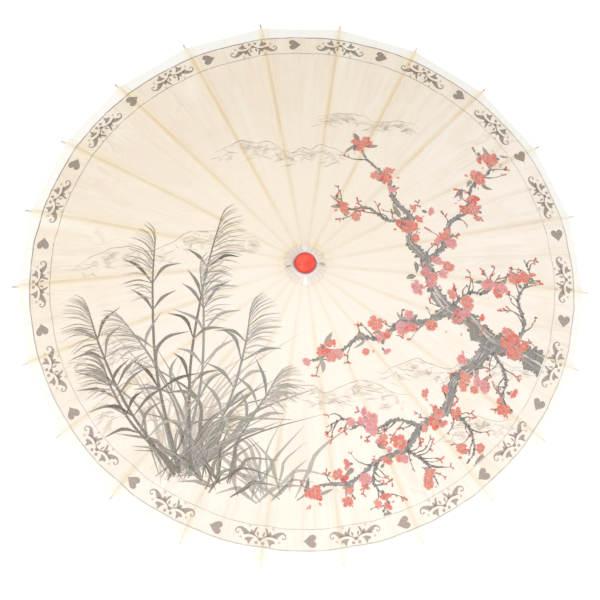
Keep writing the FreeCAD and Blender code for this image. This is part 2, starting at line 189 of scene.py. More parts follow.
paper = {
    "outerRing": 0.3942,
    "innerRing": 0.3651,
    "outerLine": 0.0011,  # half width of each printed line
    "innerLine": 0.0008,
    "shift": np.array([0.0016, -0.0006]),  # the printed sheet was pasted a little off the hub
    "pull": np.array([[1.0045, 0.0015], [0.0015, 0.9947]]),  # and stretched as it was pulled tight
}
canopy = {
    "slope": math.radians(14),
    "ribReach": 0.420,
    "linkLength": 0.172,
    "bow": 0.014,  # drop of the rib's tip below its own straight line
    "ribDepth": 0.0052,
    "lift": 0.0004,  # paste between rib and paper
    "start": 0.0056,  # distances along the rib
    "end": 0.410,
    "valley": 0.0012,  # depth at the rim of the fold half way between two ribs
    "alongSteps": 90,
    "acrossSteps": 22,
    "foldedWidth": 0.100,  # share of its width that a gore keeps when the ribs fold
    "flatReach": 0.4116,  # radius of the flat sheet's rim
    "flatLength": 0.405,  # of a gore, and the width of its cut end at the hub
    "flatFoot": 0.0062,
}


# radius and height over the rib: straight down its slope to the stretcher's pin, then bowed
# further down by a parabola
def overRib(along, lift):
    reach, link = canopy["ribReach"], canopy["linkLength"]
    bow = canopy["bow"] * along * (link - along) / (reach * (reach - link))
    above = np.minimum(bow, 0) + canopy["ribDepth"] / 2 + lift
    radius = hubRadius + along * math.cos(canopy["slope"]) + above * math.sin(canopy["slope"])
    height = hubHeight - along * math.sin(canopy["slope"]) + above * math.cos(canopy["slope"])
    return radius, height


alongTable = np.linspace(-0.004, 0.416, 400)
radiusTable, heightTable = overRib(alongTable, canopy["lift"])


# height of the paper: that of the rib's line, less a valley that is deepest between the ribs
def paperHeight(ribRadius, nearRib):
    fold = canopy["valley"] * (ribRadius / radiusTable[-1]) ** 1.5 * (1 - nearRib) ** 1.5
    return np.interp(ribRadius, radiusTable, heightTable) - fold


# puts plan points of one rib's gore on the paper, lifted by the ink's own layer; also gives
# the two attributes that the paper's pattern reads, so that it folds with the sheet
def onPaper(plan, index, lift=0.0):
    x, y = (plan @ turning(-index * ribStep)).T  # with the rib along +X
    ribRadius = x + np.abs(y) * math.tan(halfStep)
    nearRib = 1 - np.abs(y) / np.maximum(ribRadius * math.sin(halfStep) * math.cos(halfStep), 1e-9)
    nearRib = np.clip(nearRib, 0, 1)
    points = np.column_stack([plan, paperHeight(ribRadius, nearRib) + lift])
    drawn = (plan - paper["shift"]) @ np.linalg.inv(paper["pull"]).T
    along = np.interp(ribRadius, radiusTable, alongTable)
    return points, {
        "plan": np.column_stack([drawn, np.zeros(len(plan))]),
        "strip": np.column_stack([y, along, nearRib]),
    }


view = {
    "elevation": math.radians(71.955),
    "azimuth": math.radians(-8.161),
    "roll": math.radians(8.352),
    "distance": 5.0,
    "aim": Vector((-0.00191, -0.01522, 0.35)),
    "lens": 206.1,
}
camera = bpy.data.objects.new("camera", bpy.data.cameras.new("camera"))
bpy.context.scene.collection.objects.link(camera)
bpy.context.scene.camera = camera
flat = math.cos(view["elevation"])
forward = Vector((
    -math.sin(view["azimuth"]) * flat,
    math.cos(view["azimuth"]) * flat,
    -math.sin(view["elevation"]),
))
right = Vector((math.cos(view["azimuth"]), math.sin(view["azimuth"]), 0))
up = right.cross(forward)
rolledRight = right * math.cos(view["roll"]) + up * math.sin(view["roll"])
rolledUp = rolledRight.cross(forward)
camera.matrix_world = (
    Matrix.Translation(view["aim"] - forward * view["distance"])
    @ Matrix((rolledRight, rolledUp, -forward)).transposed().to_4x4()
)
camera.data.sensor_width = 36
camera.data.lens = view["lens"]
camera.data.clip_end = 60
bpy.context.scene.view_settings.view_transform = "Standard"

light = {"world": 0.745, "key": 26.0, "fill": 8.0, "floorGlow": 0.42}
# the studio looks plain white, straight, mirrored or through, and lights the scene a little less
bpy.context.scene.world, add = emptied(bpy.data.worlds.new("studio"))
seen = add("LightPath", out=None).outputs
straight = add("Math", {0: seen["Is Camera Ray"], 1: seen["Is Glossy Ray"]}, operation="MAXIMUM")
straight = add("Math", {0: straight, 1: seen["Is Transmission Ray"]}, operation="MAXIMUM")
level = add("MapRange", {0: straight, 3: light["world"], 4: 1.0})
background = add("Background", {"Color": (1, 1, 1, 1), "Strength": level})
add("OutputWorld", {"Surface": background})


def softLamp(name, place, size, power):
    lamp = bpy.data.objects.new(name, bpy.data.lights.new(name, "AREA"))
    lamp.data.size = size
    lamp.data.energy = power
    lamp.location = place
    lamp.rotation_euler = (view["aim"] - Vector(place)).to_track_quat("-Z", "Y").to_euler()
    bpy.context.scene.collection.objects.link(lamp)


softLamp("key", (0.9, -1.8, 2.3), 1.4, light["key"])
softLamp("fill", (-1.6, 0.6, 1.6), 1.6, light["fill"])

# the floor glows for the camera alone, so that it looks white and still keeps the shadow
floorMaterial, add = newMaterial("white_card_floor")
seen = add("LightPath", out=None).outputs
card = add("BsdfDiffuse", {"Color": linear("#EFEFEF")})
glow = add("Emission", {"Color": (1, 1, 1, 1), "Strength": light["floorGlow"]})
both = add("AddShader", {0: card, 1: glow})
shown = add("MixShader", {0: seen["Is Camera Ray"], 1: card, 2: both})
add("OutputMaterial", {"Surface": shown})
floorHeight = cadBox[0][2] - 0.0005
floorReach = 6
floorCorners = [(-floorReach, -floorReach, floorHeight), (floorReach, -floorReach, floorHeight)]
floorCorners += [(floorReach, floorReach, floorHeight), (-floorReach, floorReach, floorHeight)]
newPiece("floor", floorCorners, [(0, 1, 2, 3)], floorMaterial, smooth=False)
print("camera, light and floor made")


# oiled mulberry-bark paper, hand made and pasted over bamboo: cream that has aged unevenly,
# cloudy with fine fibres, straw-coloured where a rib shows through, puckered towards the rim
# and white beyond the printed ring
def paperTone(add):
    plan = add("Attribute", attribute_name="plan", out="Vector")
    strip = add("Attribute", attribute_name="strip", out="Vector")
    across, along, nearRib = add("SeparateXYZ", {0: strip}, out=None).outputs
    radius = add("VectorMath", {0: plan}, operation="LENGTH", out="Value")
    outward = add("VectorMath", {0: plan}, operation="NORMALIZE")

    # one side is darker, partly aged and partly painted shade, and pulp clouds are about 40 mm wide
    agedAndShaded = towardsSide(add, plan, (-0.5, 0.866, 0.0), -0.06, 0.33, interpolation_type="SMOOTHSTEP")
    cloud = mottled(add, plan, 24.0, 0.42, 0.68, most=0.3, detail=4.0)
    stains = [(agedAndShaded, "#F8EAD6"), (cloud, "#F3E3CC")]

    # round the hub the paper is painted paler, as painted light, and a little yellower towards +Y
    hub = add("MapRange", {0: radius, 1: 0.26, 2: 0.07, 4: 0.85}, interpolation_type="SMOOTHSTEP")
    yellowed = towardsSide(add, plan, (0.05, 1.0, 0.0), -0.01, 0.05)
    stains.append((hub, layOver(add, linear("#FFF7EA"), [(yellowed, "#FFF3DF")])))

    # fibres are about 1 mm thick, drawn a little coarse to show
    fibre = mottled(add, plan, 620.0, 0.56, 0.78, most=0.18, detail=3.0, distortion=3.0)
    stains.append((fibre, "#E9D6B8"))

    # puckers run out along the radius, 6 to 30 mm apart at the rim, and are strongest there; the
    # first two are painted shade in their hollows, the last a painted highlight on their ridges
    drift = add("CombineXYZ", {2: radius})
    grown = add("MapRange", {0: radius, 1: 0.10, 2: 0.37, 3: 0.15, 4: 1.0})
    for often, run, low, depth, shade in (
        # how close across the radius and along it, where they start, strength, colour
        (24.0, 9.0, 0.50, 0.30, "#E3CFBD"),
        (70.0, 16.0, 0.53, 0.20, "#DCC8B8"),
        (13.0, 5.0, 0.53, 0.75, "#FFF9EF"),
    ):
        lines = add("VectorMath", {0: drift, 1: (run,) * 3}, operation="MULTIPLY")
        lines = {0: outward, 1: (often,) * 3, 2: lines}
        lines = add("VectorMath", lines, operation="MULTIPLY_ADD")
        pucker = mottled(add, lines, 1.0, low, 0.76, most=depth, distortion=0.7)
        stains.append((pucker, grown, shade))

    # hard creases from damp and handling: a loose net, longer along the radius, that comes and
    # goes; each line has a shaded side and a lit one
    net = add("VectorMath", {0: drift, 1: (8.0,) * 3}, operation="MULTIPLY")
    net = add("VectorMath", {0: outward, 1: (12.0,) * 3, 2: net}, operation="MULTIPLY_ADD")
    stray = add("TexNoise", {"Vector": plan, "Scale": 16.0, "Detail": 3.0}, out=1)
    net = add("VectorMath", {0: stray, 1: (0.7,) * 3, 2: net}, operation="MULTIPLY_ADD")
    net = add("TexVoronoi", {"Vector": net, "Scale": 1.0}, feature="DISTANCE_TO_EDGE")
    paintedShading = mottled(add, plan, 7.0, 0.44, 0.60)
    paintedShading = add("Math", {0: paintedShading, 1: grown}, operation="MULTIPLY")
    for middle, wide, depth, shade in ((0.0, 0.035, 0.27, "#D8C3A6"), (0.05, 0.05, 0.34, "#FFFAF1")):
        stains.append((lineAbout(add, net, middle, wide, 0.0, depth), paintedShading, shade))

    # unprinted rim, and patches of paste round the hub
    beyond = {0: radius, 1: paper["outerRing"] - 0.0005, 2: paper["outerRing"] + 0.001, 4: 0.97}
    stains.append((add("MapRange", beyond), "#FFFDF7"))
    paste = mottled(add, plan, 95.0, 0.42, 0.62)
    near = add("MapRange", {0: radius, 1: 0.052, 2: 0.030, 4: 0.85})
    stains.append((paste, near, towardsSide(add, outward, (-0.3, 1.0, 0.0), -0.5, 0.2), "#FBE3B6"))

    # rib seen through the oiled sheet, with painted highlights and a painted shadow line beside it,
    # patchy with the paste and fainter on the side painted lighter and near the hub; side counts half
    # widths of the rib from its middle line
    halfWidth = add("MapRange", {0: along, 1: 0.0, 2: 0.40, 3: 0.0015, 4: 0.0027})
    wobble = mottled(add, plan, 34.0, 0.3, 0.7, 0.7, 1.25)
    halfWidth = add("Math", {0: halfWidth, 1: wobble}, operation="MULTIPLY")
    side = add("Math", {0: across, 1: halfWidth}, operation="DIVIDE")
    eitherSide = add("Math", {0: side}, operation="ABSOLUTE")
    patch = mottled(add, plan, 21.0, 0.36, 0.64, least=0.35, detail=3.0)
    for guide, start, end, least in ((agedAndShaded, 0.1, 0.7, 0.58), (along, 0.03, 0.20, 0.48)):
        fade = add("MapRange", {0: guide, 1: start, 2: end, 3: least, 4: 1.0})
        patch = add("Math", {0: patch, 1: fade}, operation="MULTIPLY")
    lineAt = add("MapRange", {0: along, 1: 0.0, 2: 0.40, 3: -0.0020, 4: -0.0090})
    # pale is the strength of the painted highlight beside the rib, most on the side painted lighter
    pale = add("MapRange", {0: agedAndShaded, 1: 0.2, 2: 0.7, 3: 0.65, 4: 0.05})
    for gauge, middle, wide, core, depth, shade in (
        # measured by, middle, reach on both sides, full strength within, strength, colour
        (side, 2.0, 1.9, 0.5, 0.55, "#FFF3D3"),  # painted highlights where the sheet rises over the rib, one side then the other
        (side, -1.9, 1.7, 0.5, 0.45, "#FFF1C9"),
        (eitherSide, 3.3, 1.3, 0.2, pale, "#FFFCF4"),  # painted highlight on the paper that stands proud of the glue
        (eitherSide, 0.0, 1.7, 0.35, 0.38, "#FAD896"),  # the bamboo itself
        (side, -0.45, 0.5, 0.05, 0.26, "#D6AB68"),  # its shaded edge
        (across, lineAt, 0.0022, 0.0004, 0.14, "#DFC596"),  # painted shadow line beside it
    ):
        mark = lineAbout(add, gauge, middle, wide, core, depth, interpolation_type="SMOOTHSTEP")
        stains.append((mark, patch, shade))

    # painted shade in the crease that each fold leaves half way between two ribs
    stains.append((add("MapRange", {0: nearRib, 1: 0.03, 2: 0.0, 4: 0.16}), "#DDCBB0"))

    # the two printed rings, with ink that thins here and there and shows less underneath
    thin = mottled(add, plan, 60.0, 0.25, 0.55, least=0.45)
    underneath = add("NewGeometry", out="Backfacing")
    # the rings are also paler on the side that is painted lighter
    for guide, start, end, least, most in ((underneath, 0.0, 1.0, 1.0, 0.35), (agedAndShaded, 0.2, 0.8, 0.62, 1.0)):
        fade = add("MapRange", {0: guide, 1: start, 2: end, 3: least, 4: most})
        thin = add("Math", {0: thin, 1: fade}, operation="MULTIPLY")
    waver = mottled(add, outward, 9.0, 0.25, 0.75, -0.0012, 0.0012)
    wavering = add("Math", {0: radius, 1: waver}, operation="ADD")
    for ring, half, depth in (("outerRing", "outerLine", 0.85), ("innerRing", "innerLine", 0.72)):
        line = lineAbout(add, wavering, paper[ring], paper[half], paper[half] * 0.6, depth)
        stains.append((line, thin, "#8C837B"))
    return layOver(add, linear("#FFF5E9"), stains), plan, strip


# matt sheet with a faint oiled sheen that lets some light through, crinkled along the ribs
def paperSurface(add, colour, plan, strip, passing):
    across = add("VectorMath", {0: strip, 1: (330.0, 14.0, 0.0)}, operation="MULTIPLY")
    pleat = add("TexNoise", {"Vector": across, "Scale": 1.0, "Detail": 2.0})
    cockle = add("TexNoise", {"Vector": plan, "Scale": 45.0, "Detail": 4.0})
    relief = add("Math", {0: pleat, 1: 0.35, 2: cockle}, operation="MULTIPLY_ADD")
    bump = add("Bump", {"Strength": 0.45, "Distance": 0.0014, "Height": relief})
    skin = add("BsdfPrincipled", {
        "Base Color": colour,
        "Roughness": 0.55,
        "IOR": 1.47,
        "Specular IOR Level": 0.25,
        "Normal": bump,
    })
    through = add("BsdfTranslucent", {"Color": colour, "Normal": bump})
    mixed = add("MixShader", {0: passing, 1: skin, 2: through})
    add("OutputMaterial", {"Surface": mixed})


oiledPaper, add = newMaterial("oiled_mulberry_paper")
tone, plan, strip = paperTone(add)
paperSurface(add, tone, plan, strip, 0.12)

# a gore runs from fold to fold over its rib: chords across the rib at each distance along it
along = np.linspace(canopy["start"], canopy["end"], canopy["alongSteps"] + 1)
side = np.linspace(-1, 1, canopy["acrossSteps"] + 1)
ribRadius, _ = overRib(along, canopy["lift"])
x = ribRadius[:, None] * (1 - np.abs(side) * math.sin(halfStep) ** 2)
y = ribRadius[:, None] * side * math.sin(halfStep) * math.cos(halfStep)
goreFaces = gridFaces(len(along), len(side))[:, ::-1]
paperPieces = []
for index in range(ribCount):
    plan = np.stack([x, y], -1).reshape(-1, 2) @ turning(index * ribStep)
    points, attributes = onPaper(plan, index)
    paperPieces.append(newPiece(f"paper_{index + 1:02d}", points, goreFaces, oiledPaper, attributes))
print("paper laid over", len(paperPieces), "ribs")


ink = {
    "borderTop": "#8D8277",
    "borderLow": "#AB9B94",
    "dark": "#5D574D",
    "twig": "#4A4036",
    "bark": "#6C6D72",
    "grey": "#8B8A87",
    "pale": "#B9AEA0",
    "wash": "#CFC4B6",
    "red": "#F4533F",
    "coral": "#FA7460",
    "pink": "#F98A9A",
    "deep": "#CC3A31",
    "centre": "#F7DFAE",
}
tints = {name: np.array(linear(shade)[:3]) for name, shade in ink.items()}
printed = {"rows": [], "faces": []}  # a row holds plan x and y, ink, density and lift
layerThickness = 0.00002
lowestLayer = 0.00012  # above the paper
printEdge = 0.3635  # the painting stops just inside the inner ring
farthest = 0.352  # of a blossom, a twig or a blade of grass from the hub
trailSteps = 200  # points along a bough's middle line
# ink layers from the lowest up; blossoms take six each from the last one on
layers = {"wash": 0, "line": 1, "stem": 3, "bark": 4, "streak": 5, "bud": 6, "blossom": 7}


# collects one printed shape, a pair of points and faces, kept inside the edge if there is one;
# its ink is one colour, or one for each point
def addPrint(shape, colour, density, layer, edge=printEdge):
    points, faces = shape
    points = np.asarray(points, float)
    if edge:
        points = points * np.minimum(1, edge / np.maximum(np.hypot(*points.T), 1e-9))[:, None]
    rows = np.empty((len(points), 7))
    rows[:, :2] = points
    rows[:, 2:5] = colour
    rows[:, 5] = density
    rows[:, 6] = layer * layerThickness + lowestLayer
    printed["faces"].append(faces + sum(len(part) for part in printed["rows"]))
    printed["rows"].append(rows)


# smooth line through the given points: a cubic Hermite curve whose slope at each point is
# that of the chord between its two neighbours
def smoothLine(points, count):
    points = np.asarray(points, float)
    slopes = np.gradient(points, axis=0)
    place = np.linspace(0, len(points) - 1, count)
    start = np.minimum(place.astype(int), len(points) - 2)
    t = (place - start)[:, None]
    return (
        (2 * t**3 - 3 * t**2 + 1) * points[start]
        + (t**3 - 2 * t**2 + t) * slopes[start]
        + (3 * t**2 - 2 * t**3) * points[start + 1]
        + (t**3 - t**2) * slopes[start + 1]
    )


# unit heading at each point of a line, and the normal to its left
def headings(line):
    heading = np.gradient(line, axis=0)
    heading /= np.maximum(np.linalg.norm(heading, axis=1, keepdims=True), 1e-12)
    return heading, np.column_stack([-heading[:, 1], heading[:, 0]])


# the given widths spread evenly over a count of points
def spreadWidths(widths, count):
    return np.interp(np.linspace(0, 1, count), np.linspace(0, 1, len(widths)), widths)


# band of the given widths along a smooth line; rough moves each side at random
def brushStroke(points, widths, count, rough=0.0, seed=0):
    line = smoothLine(points, count)
    _, normal = headings(line)
    width = spreadWidths(widths, count)
    shake = np.random.default_rng(seed).normal(0, rough, (count, 2)) if rough else np.zeros((count, 2))
    left = line + normal * (width * (0.5 + shake[:, 0]))[:, None]
    rightSide = line - normal * (width * (0.5 + shake[:, 1]))[:, None]
    return np.stack([left, line, rightSide], 1).reshape(-1, 2), gridFaces(count, 3)


# closed outline filled by rings drawn in towards a centre; shares are the rings' sizes
def filledOutline(outline, centre, shares=(1.0, 0.5, 0.02)):
    rings = [centre + share * (outline - centre) for share in shares]
    return np.concatenate(rings), gridFaces(len(shares), len(outline), closed=True)


# spot: a circle drawn out along one direction
def spot(centre, size, stretch=1.0, turn=0.0, count=8):
    around = np.linspace(0, 2 * math.pi, count, endpoint=False)
    outline = np.column_stack([size * stretch * np.cos(around), size * np.sin(around)]) @ turning(turn)
    return filledOutline(centre + outline, centre, (1.0, 0.05))


# heart of the given length and width about the origin, with its point along +x
def heartOutline(length, width, count=28):
    t = np.linspace(0, 2 * math.pi, count, endpoint=False)
    wide = 16 * np.sin(t) ** 3
    tall = 13 * np.cos(t) - 5 * np.cos(2 * t) - 2 * np.cos(3 * t) - np.cos(4 * t)
    return np.column_stack([-(tall + 2.5) * length / 29, wide * width / 32])


# the border's plate was set 8 mm off the rings, so its motifs creep round towards +Y
border = {
    "radius": 0.3795,  # middle line
    "repeats": 18,
    "scrollAngle": math.radians(1.1),
    "heartOffset": np.array([-0.0022, 0.0017]),  # from half way between two scrolls
    "heart": (0.0186, 0.0180),
    "creep": (0.0216, 0.0028),
    # half of a scroll, (clockwise, outward) in millimetres; the other half mirrors it
    "arm": [
        (0.3, 4.2), (3.5, 2.2), (8, -0.3), (13, -1.6), (17, -1.9), (21, -2.9), (24.6, -4.9),
        (28.2, -6.9), (31.8, -6.8), (34.6, -4.6), (35.3, -1.6), (33.3, 0.8), (30.9, 0.2), (31.0, -1.4),
    ],
    "armWidths": [1.6, 1.6, 1.9, 2.6, 3.8, 6.4, 6.0, 3.6, 2.3, 1.8, 1.4, 1.3, 1.4, 2.4],
    "leaves": [
        # line, widths
        ([(10.4, -0.8), (9.2, -5.2), (7.4, -9.4), (6.0, -12.0)], [3.6, 3.4, 2.8, 1.2]),
        ([(3.3, 0.2), (4.1, -2.8), (4.9, -6.0)], [1.0, 3.0, 0.8]),
        ([(12.4, -1.6), (13.0, -4.4), (13.4, -7.2)], [4.6, 4.2, 1.6]),
        ([(18.0, -1.6), (21.6, -0.4), (24.4, 1.4)], [2.6, 2.8, 1.0]),
    ],
    "heartLeaf": [
        (14.5, 13.7), (16.0, 10.6), (17.4, 8.3), (19.6, 8.4), (20.8, 6.7), (19.6, 4.8), (17.0, 3.5),
        (13.8, 3.1), (11.0, 3.2), (9.2, 3.8), (11.0, 5.6), (12.3, 8.2), (13.4, 11.2),
    ],
    # centre, size, density
    "spots": [((4.3, 9.4), 2.3, 0.74), ((26.6, 5.4), 2.0, 0.34), ((16.6, -11.9), 2.1, 0.30)],
}


# bends (clockwise, outward) offsets in metres round the border's middle line, and prints them
# in ink painted darker and greyer on the far side and paler and pinker on the near one, as painted light
def printOnBorder(points, faces, angle, density):
    turned = angle - points[:, 0] / border["radius"]
    turned = turned + border["creep"][0] * np.cos(turned) + border["creep"][1] * np.sin(turned)
    reach = border["radius"] + points[:, 1]
    near = 0.5 - 0.5 * math.sin(angle)
    colour = tints["borderTop"] * (1 - near) + tints["borderLow"] * near
    bent = np.column_stack([reach * np.cos(turned), reach * np.sin(turned)])
    addPrint((bent, faces), colour, density, layers["line"], edge=None)


scroll = [(brushStroke(border["arm"], border["armWidths"], 48), 0.84)]
scroll += [(brushStroke(line, widths, 10), 0.84) for line, widths in border["leaves"]]
heartLeaf = smoothLine(border["heartLeaf"] + border["heartLeaf"][:1], 40)[:-1]
scroll.append((filledOutline(heartLeaf, np.array([14.6, 6.2])), 0.84))
scroll += [(spot(np.array(centre), size, count=12), density) for centre, size, density in border["spots"]]
heart, heartFaces = filledOutline(heartOutline(*border["heart"]), np.array([-0.001, 0.0]))
drop, dropFaces = spot(np.array([0, 4.3]), 2.4, stretch=1.15, count=14)
for place in range(border["repeats"]):
    angle = border["scrollAngle"] + 2 * math.pi * place / border["repeats"]
    printOnBorder(heart + border["heartOffset"], heartFaces, angle + math.pi / border["repeats"], 0.86)
    printOnBorder(drop / 1000, dropFaces, angle, 0.88)
    for side in (1, -1):
        for (points, faces), density in scroll:
            printOnBorder(points * (side / 1000, 1 / 1000), faces[:, ::side], angle, density)
print("border of hearts and scrolls drawn")


# a generic brush painting: a camellia bough from the right edge, silver-grass on the left and
# far hills in thin ink; lines in plan metres, widths in millimetres
boughs = [
    (
        [(0.372, -0.136), (0.340, -0.116), (0.302, -0.098), (0.264, -0.090), (0.234, -0.060),
         (0.205, -0.048), (0.180, -0.012), (0.174, 0.022), (0.150, 0.050), (0.153, 0.086),
         (0.128, 0.116), (0.120, 0.150), (0.090, 0.180), (0.078, 0.212)],
        [34, 30, 25, 27, 19, 21, 14, 15, 10, 9.5, 6, 5, 3, 1.4],
    ),
    (
        [(0.174, 0.020), (0.200, 0.046), (0.210, 0.084), (0.240, 0.110), (0.244, 0.146),
         (0.272, 0.176), (0.274, 0.206)],
        [9, 8, 6.5, 5, 4, 2.5, 1.2],
    ),
    (
        [(0.206, -0.048), (0.170, -0.072), (0.140, -0.072), (0.108, -0.098), (0.072, -0.102),
         (0.042, -0.128), (0.006, -0.134)],
        [13, 9, 8, 5.5, 4.6, 2.8, 1.2],
    ),
    (
        [(0.270, -0.090), (0.240, -0.130), (0.212, -0.154), (0.202, -0.194), (0.166, -0.220),
         (0.144, -0.252), (0.104, -0.270), (0.066, -0.300), (0.022, -0.306), (-0.010, -0.326)],
        [20, 16, 13, 13, 9, 8, 6, 5, 3, 1.6],
    ),
    ([(0.153, 0.086), (0.120, 0.080), (0.090, 0.098), (0.060, 0.094), (0.036, 0.116)], [5, 4, 3, 2, 1]),
    (
        [(0.302, -0.098), (0.318, -0.060), (0.310, -0.022), (0.328, 0.012), (0.320, 0.040)],
        [7, 5, 4, 2.4, 1.2],
    ),
    ([(0.202, -0.192), (0.232, -0.212), (0.244, -0.246), (0.232, -0.268)], [6, 4, 2.4, 1.2]),
    (
        [(0.168, -0.220), (0.130, -0.212), (0.098, -0.226), (0.058, -0.214), (0.030, -0.226)],
        [6, 4.4, 3.4, 2, 1],
    ),
    ([(0.205, -0.048), (0.236, -0.022), (0.262, -0.018), (0.284, 0.012)], [5, 3.4, 2.4, 1]),
    ([(0.264, -0.092), (0.290, -0.140), (0.284, -0.172), (0.300, -0.190)], [6, 4, 2.4, 1.2]),
    ([(0.144, -0.252), (0.176, -0.272), (0.192, -0.300)], [4.4, 3, 1.2]),
    ([(0.104, -0.270), (0.098, -0.298), (0.118, -0.324), (0.112, -0.340)], [4, 3, 2.4, 1.2]),
]
clusters = [
    # x, y, blossoms, spread in metres, share of pink
    (0.082, 0.204, 7, 0.015, 0.1), (0.118, 0.150, 5, 0.014, 0.1), (0.152, 0.078, 8, 0.018, 0.2),
    (0.272, 0.196, 6, 0.014, 0.1), (0.238, 0.118, 7, 0.016, 0.2), (0.178, 0.000, 9, 0.020, 0.8),
    (0.222, -0.058, 9, 0.024, 0.6), (0.104, -0.098, 7, 0.018, 0.3), (0.030, -0.130, 6, 0.014, 0.2),
    (0.238, -0.138, 10, 0.024, 0.3), (0.196, -0.198, 8, 0.020, 0.1), (0.124, -0.262, 8, 0.020, 0.2),
    (0.072, -0.296, 7, 0.016, 0.1), (0.010, -0.318, 7, 0.016, 0.1), (0.084, -0.220, 6, 0.016, 0.7),
    (0.298, -0.096, 8, 0.020, 0.1), (0.320, 0.006, 5, 0.013, 0.2), (0.056, 0.098, 5, 0.012, 0.1),
    (0.276, -0.006, 5, 0.013, 0.8), (0.240, -0.258, 5, 0.014, 0.3), (0.290, -0.176, 5, 0.013, 0.2),
    (0.148, -0.070, 5, 0.014, 0.9), (0.206, 0.060, 4, 0.012, 0.6), (0.184, -0.290, 4, 0.011, 0.2),
    (0.114, -0.330, 4, 0.010, 0.1), (0.250, 0.160, 3, 0.010, 0.4),
]
picture = np.random.default_rng(7)


# a closed bud, or a drop of ink, of the given length along a direction
def printBud(base, length, turn, colour, density, layer):
    addPrint(spot(base + 0.5 * length * towards(turn), length * 0.32, 1.6, turn), colour, density, layer)


# twig with an elbow, buds up its side and a few together at its end
def printTwig(base, turn, reach):
    elbow = base + 0.55 * reach * towards(turn)
    turn += picture.uniform(-0.8, 0.8)
    end = elbow + 0.45 * reach * towards(turn)
    if not 0.045 < np.hypot(*end) < farthest:
        return
    seed = int(abs(base[0]) * 1e5)
    twig = brushStroke([base, elbow, end], [0.0022, 0.0014, 0.0007], 9, rough=0.16, seed=seed)
    addPrint(twig, tints["twig"], 0.8, layers["bark"], edge=None)
    for bud in range(picture.integers(2, 6)):
        place = end if bud < 2 else elbow + (end - elbow) * picture.uniform(0, 1)
        lean = turn + picture.normal(0, 0.9)
        size = picture.uniform(0.0028, 0.0056)
        printBud(place, size * 0.7, lean, tints["twig"], 0.78, layers["bark"])
        if picture.uniform() < 0.7:
            hue = tints[picture.choice(["red", "deep", "coral"])]
            printBud(place + 0.5 * size * towards(lean), size, lean, hue, 0.8, layers["bud"])


for number, (line, widths) in enumerate(boughs):
    steps = 16 * len(line)
    swell = 0.20 * np.sin(np.linspace(0, 5.5 * len(line), steps)) * picture.uniform(0.3, 1, steps)
    knots = spreadWidths(widths, steps) / 1000 * (1 + swell)
    addPrint(brushStroke(line, knots, steps, rough=0.11, seed=number), tints["bark"], 0.80, layers["bark"])
    trail = smoothLine(line, trailSteps)
    heading, normal = headings(trail)
    wide = spreadWidths(widths, trailSteps) / 1000
    # darker and drier streaks along the bark, where the brush was wet or let the paper show
    for streak in range(int(2.2 * widths[0])):
        begin = picture.integers(0, trailSteps - 30)
        part = slice(begin, begin + picture.integers(7, 18), 2)
        offset = picture.uniform(-0.42, 0.42)
        shade, density = (("dark", 0.5), ("dark", 0.35), ("wash", 0.26))[streak % 3]
        middle = trail[part] + normal[part] * wide[part, None] * offset
        size = wide[begin] * picture.uniform(0.03, 0.10)
        mark = brushStroke(middle, [0.1 * size, size, size, 0.1 * size], 16, rough=0.25, seed=streak)
        addPrint(mark, tints[shade], density, layers["streak"])
    # moss dots and knobs of bark that roughen the outline
    for dot in range(9 * len(line)):
        place = picture.integers(0, trailSteps - 4)
        side = picture.choice([-1, 1])
        centre = trail[place] + normal[place] * wide[place] * 0.5 * side * picture.uniform(0.8, 1.15)
        size = picture.uniform(0.0006, 0.0012) + wide[place] * picture.uniform(0.02, 0.09)
        knob = spot(centre, size, picture.uniform(1, 1.8), picture.uniform(0, 3))
        addPrint(knob, tints["bark"], 0.8, layers["bark"])
    for place in range(18, trailSteps - 4, 15):
        turn = math.atan2(heading[place, 1], heading[place, 0])
        turn += picture.choice([-1, 1]) * picture.uniform(0.5, 1.2)
        printTwig(trail[place], turn, picture.uniform(0.014, 0.034))


# one petal: an egg-shaped fan of rings, with ink that runs from deep at its foot to the hue
def printPetal(centre, tilt, turn, length, broad, foot, hue, density, layer):
    around = np.linspace(0, 2 * math.pi, 11, endpoint=False)
    reach = length * (0.5 + 0.5 * np.cos(around)) * (1 - 0.10 * np.exp(-around**2 / 0.2))
    width = broad * np.sin(around) * (0.82 + 0.18 * np.cos(around))
    outline = np.column_stack([foot + reach, width])
    rim, faces = filledOutline(outline * 1.05, outline.mean(0), (1.0, 0.05))
    addPrint((centre + rim @ turning(turn) @ tilt, faces), tints["deep"], 0.5 * density, layer)
    body, faces = filledOutline(outline, np.array([foot + length * 0.2, 0]), (0.97, 0.6, 0.05))
    shade = np.repeat([1.08, 0.92, 0.35], len(outline))[:, None]
    colour = tints["deep"] + (hue - tints["deep"]) * shade
    addPrint((centre + body @ turning(turn) @ tilt, faces), colour, density, layer + 1)


